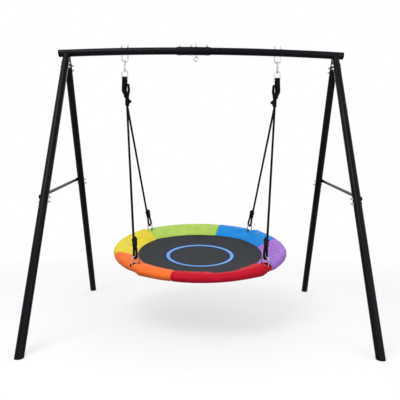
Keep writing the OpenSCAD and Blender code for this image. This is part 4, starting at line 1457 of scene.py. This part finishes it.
def spanAxis(points, longest, cornerShare):
    # the longest direction of a bolt, or the shortest between a nut's corners
    if not longest:
        far = np.linalg.norm(points - (points.min(0) + points.max(0)) / 2, axis=1)
        points = points[far > cornerShare * far.max()]
    middle = points.mean(0)
    values, vectors = np.linalg.eigh(np.cov((points - middle).T))
    axis = vectors[:, 2 if longest else 0]
    height = (points - middle) @ axis
    side = points - middle - height[:, None] * axis
    return middle, axis, height, side


def widest(side):
    return unit(side[np.argmax(np.linalg.norm(side, axis=1))])


def fitFasteners(size):
    partTree = makePartTree()
    for node in size["nuts"]:
        places = []
        for points in islands(node):
            middle, axis, height, side = spanAxis(points, False, size["cornerShare"])
            places.append((middle + height.min() * axis, axis, widest(side)))
        piece = placeParts(node + "_cut", nutPart(size), places, zinc, False, partTree)
        settle(piece, "frame", node)
    for node in size["bolts"]:
        places = []
        for points in islands(node):
            middle, axis, height, side = spanAxis(points, True, size["cornerShare"])
            wide = np.linalg.norm(side, axis=1) > size["headWider"] * size["boltRadius"]
            if height[wide].mean() > height.mean():
                axis, height = -axis, -height
            low = height.min() + size["headHeight"]
            places.append((middle + low * axis, axis, widest(side)))
            length = height.max() - low
        piece = placeParts(node + "_cut", boltPart(size, length), places, zinc, True, partTree)
        settle(piece, "frame", node)
    return partTree


def cutThreads(size, partTree):
    # ridges on the open ends of the U-bolts and of the eye bolt
    for name, node, radius, length, places in size["studs"]:
        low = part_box(node)[1][2] - length
        ridge = threadPoints(size, 0, length - size["threadFrom"], radius)
        spots = [(np.array([x, 0, low]), (0, 0, 1), (1, 0, 0)) for x in places]
        piece = placeParts(name, ridge, spots, zinc, True, partTree)
        settle(piece, "frame")


partTree = fitFasteners(fasteners)
cutThreads(fasteners, partTree)
print("nuts and bolts in place")

# welds where the leg sockets meet the crossbar
welds = {
    "legX": 0.855,
    "axisZ": 1.6711,
    "legAngle": 22.8156,
    "slope": 0.0489,  # of the arched crossbar there
    "barRadius": 0.0225,
    "socketRadius": 0.0208,
    "bead": 0.0026,
    "beadSides": 8,
    "ripples": 46,
    "rippleShare": 0.16,
    "steps": 368,
}


def makeWeldTree(size):
    tree, given, names = newTree("weld_bead", Bead="Float", Ripples="Float", Finish="Material")
    curve = addNode(tree, "GeometryNodeMeshToCurve", {"Mesh": given["Geometry"]}).outputs[0]
    along = addNode(tree, "GeometryNodeSplineParameter").outputs["Factor"]
    turn = maths(tree, "MULTIPLY", maths(tree, "MULTIPLY", along, given["Ripples"]), 2 * math.pi)
    ripple = maths(tree, "MULTIPLY", maths(tree, "SINE", turn), size["rippleShare"])
    swell = maths(tree, "MULTIPLY", maths(tree, "ADD", ripple, 1.0), given["Bead"])
    inputs = {"Resolution": size["beadSides"], "Radius": 1.0}
    section = addNode(tree, "GeometryNodeCurvePrimitiveCircle", inputs).outputs[0]
    inputs = {"Curve": curve, "Profile Curve": section, "Scale": swell}
    endTree(tree, addNode(tree, "GeometryNodeCurveToMesh", inputs).outputs[0], given["Finish"])
    return tree, names


def weldPath(side, end, size):
    a = math.radians(size["legAngle"])
    turn = np.linspace(0, 2 * np.pi, size["steps"] + 1)
    x = size["socketRadius"] * np.cos(turn)
    aside = size["socketRadius"] * np.sin(turn)
    down = np.sqrt(size["barRadius"] ** 2 - aside**2)
    y = end * (down * math.sin(a) + aside * math.cos(a))
    z = size["axisZ"] - down * math.cos(a) + aside * math.sin(a) - side * x * size["slope"]
    return np.stack([side * size["legX"] + x, y, z], 1)


def weldSockets(size):
    tree, names = makeWeldTree(size)
    lines = [weldPath(side, end, size) for side in sides.values() for end in ends.values()]
    source = lineObject("weld_lines", lines)
    values = {"Bead": size["bead"], "Ripples": size["ripples"], "Finish": blackCoat}
    piece = runTree("socket_welds", source, tree, names, **values)
    settle(piece, "frame")


weldSockets(welds)
print("sockets welded")

# CAD nodes that keep their shape
foamSkin = {
    "colour": "#1c1d1f",
    "cloudColour": "#2a2b2d",
    "cells": 900,
    "depth": 0.0003,
    "depthShare": 0.5,
    "gloss": {"Roughness": 0.9, "Specular_IOR_Level": 0.1},
}
softEdges = {
    "widths": {
        "adjusters_left": 0.0012,
        "adjusters_right": 0.0012,
        "end_caps": 0.0015,
        "foot_caps": 0.0020,
    },
    "merge": 0.00001,
    "segments": 3,
    "sharperThan": 40,
}


def makeFoam(size):
    material, tree, shader = newFinish("closed_cell_foam")
    inputs = {"Vector": objectPlace(tree), "Scale": size["cells"]}
    cells = addNode(tree, "ShaderNodeTexVoronoi", inputs).outputs["Distance"]
    paint(tree, shader, clouded(tree, cells, size))
    bump(tree, shader, cells, size["depth"], size["depthShare"])
    gloss(shader, **size["gloss"])
    return material


slotFinish = {
    "black_steel": blackCoat,
    "zinc": zinc,
    "rim_steel": blackCoat,
    "black_plastic": blackPlastic,
    "foam": makeFoam(foamSkin),
}


def finishNodes(size):
    for part in frame["record"]["subparts"]:
        finish = slotFinish.get(part["material_slot"])
        if finish:
            mesh = nodes[part["node"]].data
            mesh.materials.clear()
            mesh.materials.append(finish)
    for node, width in size["widths"].items():
        weld = nodes[node].modifiers.new("weld", "WELD")
        weld.merge_threshold = size["merge"]
        bevel = nodes[node].modifiers.new("round", "BEVEL")
        bevel.width = width
        bevel.segments = size["segments"]
        bevel.limit_method = "ANGLE"
        bevel.angle_limit = math.radians(size["sharperThan"])


finishNodes(softEdges)
print("CAD nodes finished")

# floor, world and lights
stage = {
    "floorSize": 16.0,
    "floorGrey": 0.25,
    "floorSeen": 0.95,
    "floorGlow": 0.62,
    "glowSpan": (1.6, 3.2),  # metres from the middle
    "worldLight": 0.5,
    "lights": (
        # name, place, width, height and power
        ("key", (-1.6, -2.6, 4.0), 2.4, 2.4, 110),
        ("fill", (2.6, -2.8, 2.2), 2.6, 2.6, 26),
        ("back", (0.6, 3.2, 3.2), 2.4, 2.4, 40),
        ("strip_left", (-0.5, -3.6, 1.1), 0.25, 2.4, 13),
        ("strip_right", (1.9, -3.3, 1.1), 0.25, 2.4, 13),
    ),
    "aim": (0, 0, 0.7),
}


def seenDirectly(tree):
    path = addNode(tree, "ShaderNodeLightPath")
    seen = maths(tree, "ADD", path.outputs["Is Camera Ray"], path.outputs["Is Glossy Ray"])
    return maths(tree, "MINIMUM", maths(tree, "ADD", seen, path.outputs["Is Transmission Ray"]), 1.0)


def setStage(size):
    half = size["floorSize"] / 2
    corners = [(-half, -half, 0), (half, -half, 0), (half, half, 0), (-half, half, 0)]
    material = bpy.data.materials.new("pale_floor")
    material.use_nodes = True
    tree = material.node_tree
    tree.nodes.clear()
    seen = seenDirectly(tree)
    grey = spread(tree, seen, size["floorGrey"], size["floorSeen"])
    matte = addNode(tree, "ShaderNodeBsdfDiffuse", {"Color": grey}).outputs[0]
    white = addNode(tree, "ShaderNodeEmission", {"Color": (1, 1, 1, 1), "Strength": 1.0}).outputs[0]
    reach = addNode(tree, "ShaderNodeVectorMath", {0: objectPlace(tree)}, operation="LENGTH").outputs["Value"]
    far = spread(tree, reach, size["floorGlow"], 1.0, *size["glowSpan"])
    factor = maths(tree, "MULTIPLY", seen, far)
    mixed = addNode(tree, "ShaderNodeMixShader", {0: factor, 1: matte, 2: white}).outputs[0]
    addNode(tree, "ShaderNodeOutputMaterial", {"Surface": mixed})
    floor = meshObject("floor", corners, [(0, 1, 2, 3)], material)
    world = bpy.data.worlds.new("studio")
    world.use_nodes = True
    tree = world.node_tree
    tree.nodes.clear()
    strength = spread(tree, seenDirectly(tree), size["worldLight"], 1.0)
    glow = addNode(tree, "ShaderNodeBackground", {"Color": (1, 1, 1, 1), "Strength": strength}).outputs[0]
    addNode(tree, "ShaderNodeOutputWorld", {"Surface": glow})
    bpy.context.scene.world = world
    for name, place, wide, high, power in size["lights"]:
        data = bpy.data.lights.new(name, "AREA")
        data.shape = "RECTANGLE"
        data.size = wide
        data.size_y = high
        data.energy = power
        lamp = link(bpy.data.objects.new(name, data))
        lamp.location = place
        lamp.rotation_euler = (Vector(size["aim"]) - Vector(place)).to_track_quat("-Z", "Y").to_euler()
    bpy.context.scene.view_settings.view_transform = "Standard"


setStage(stage)
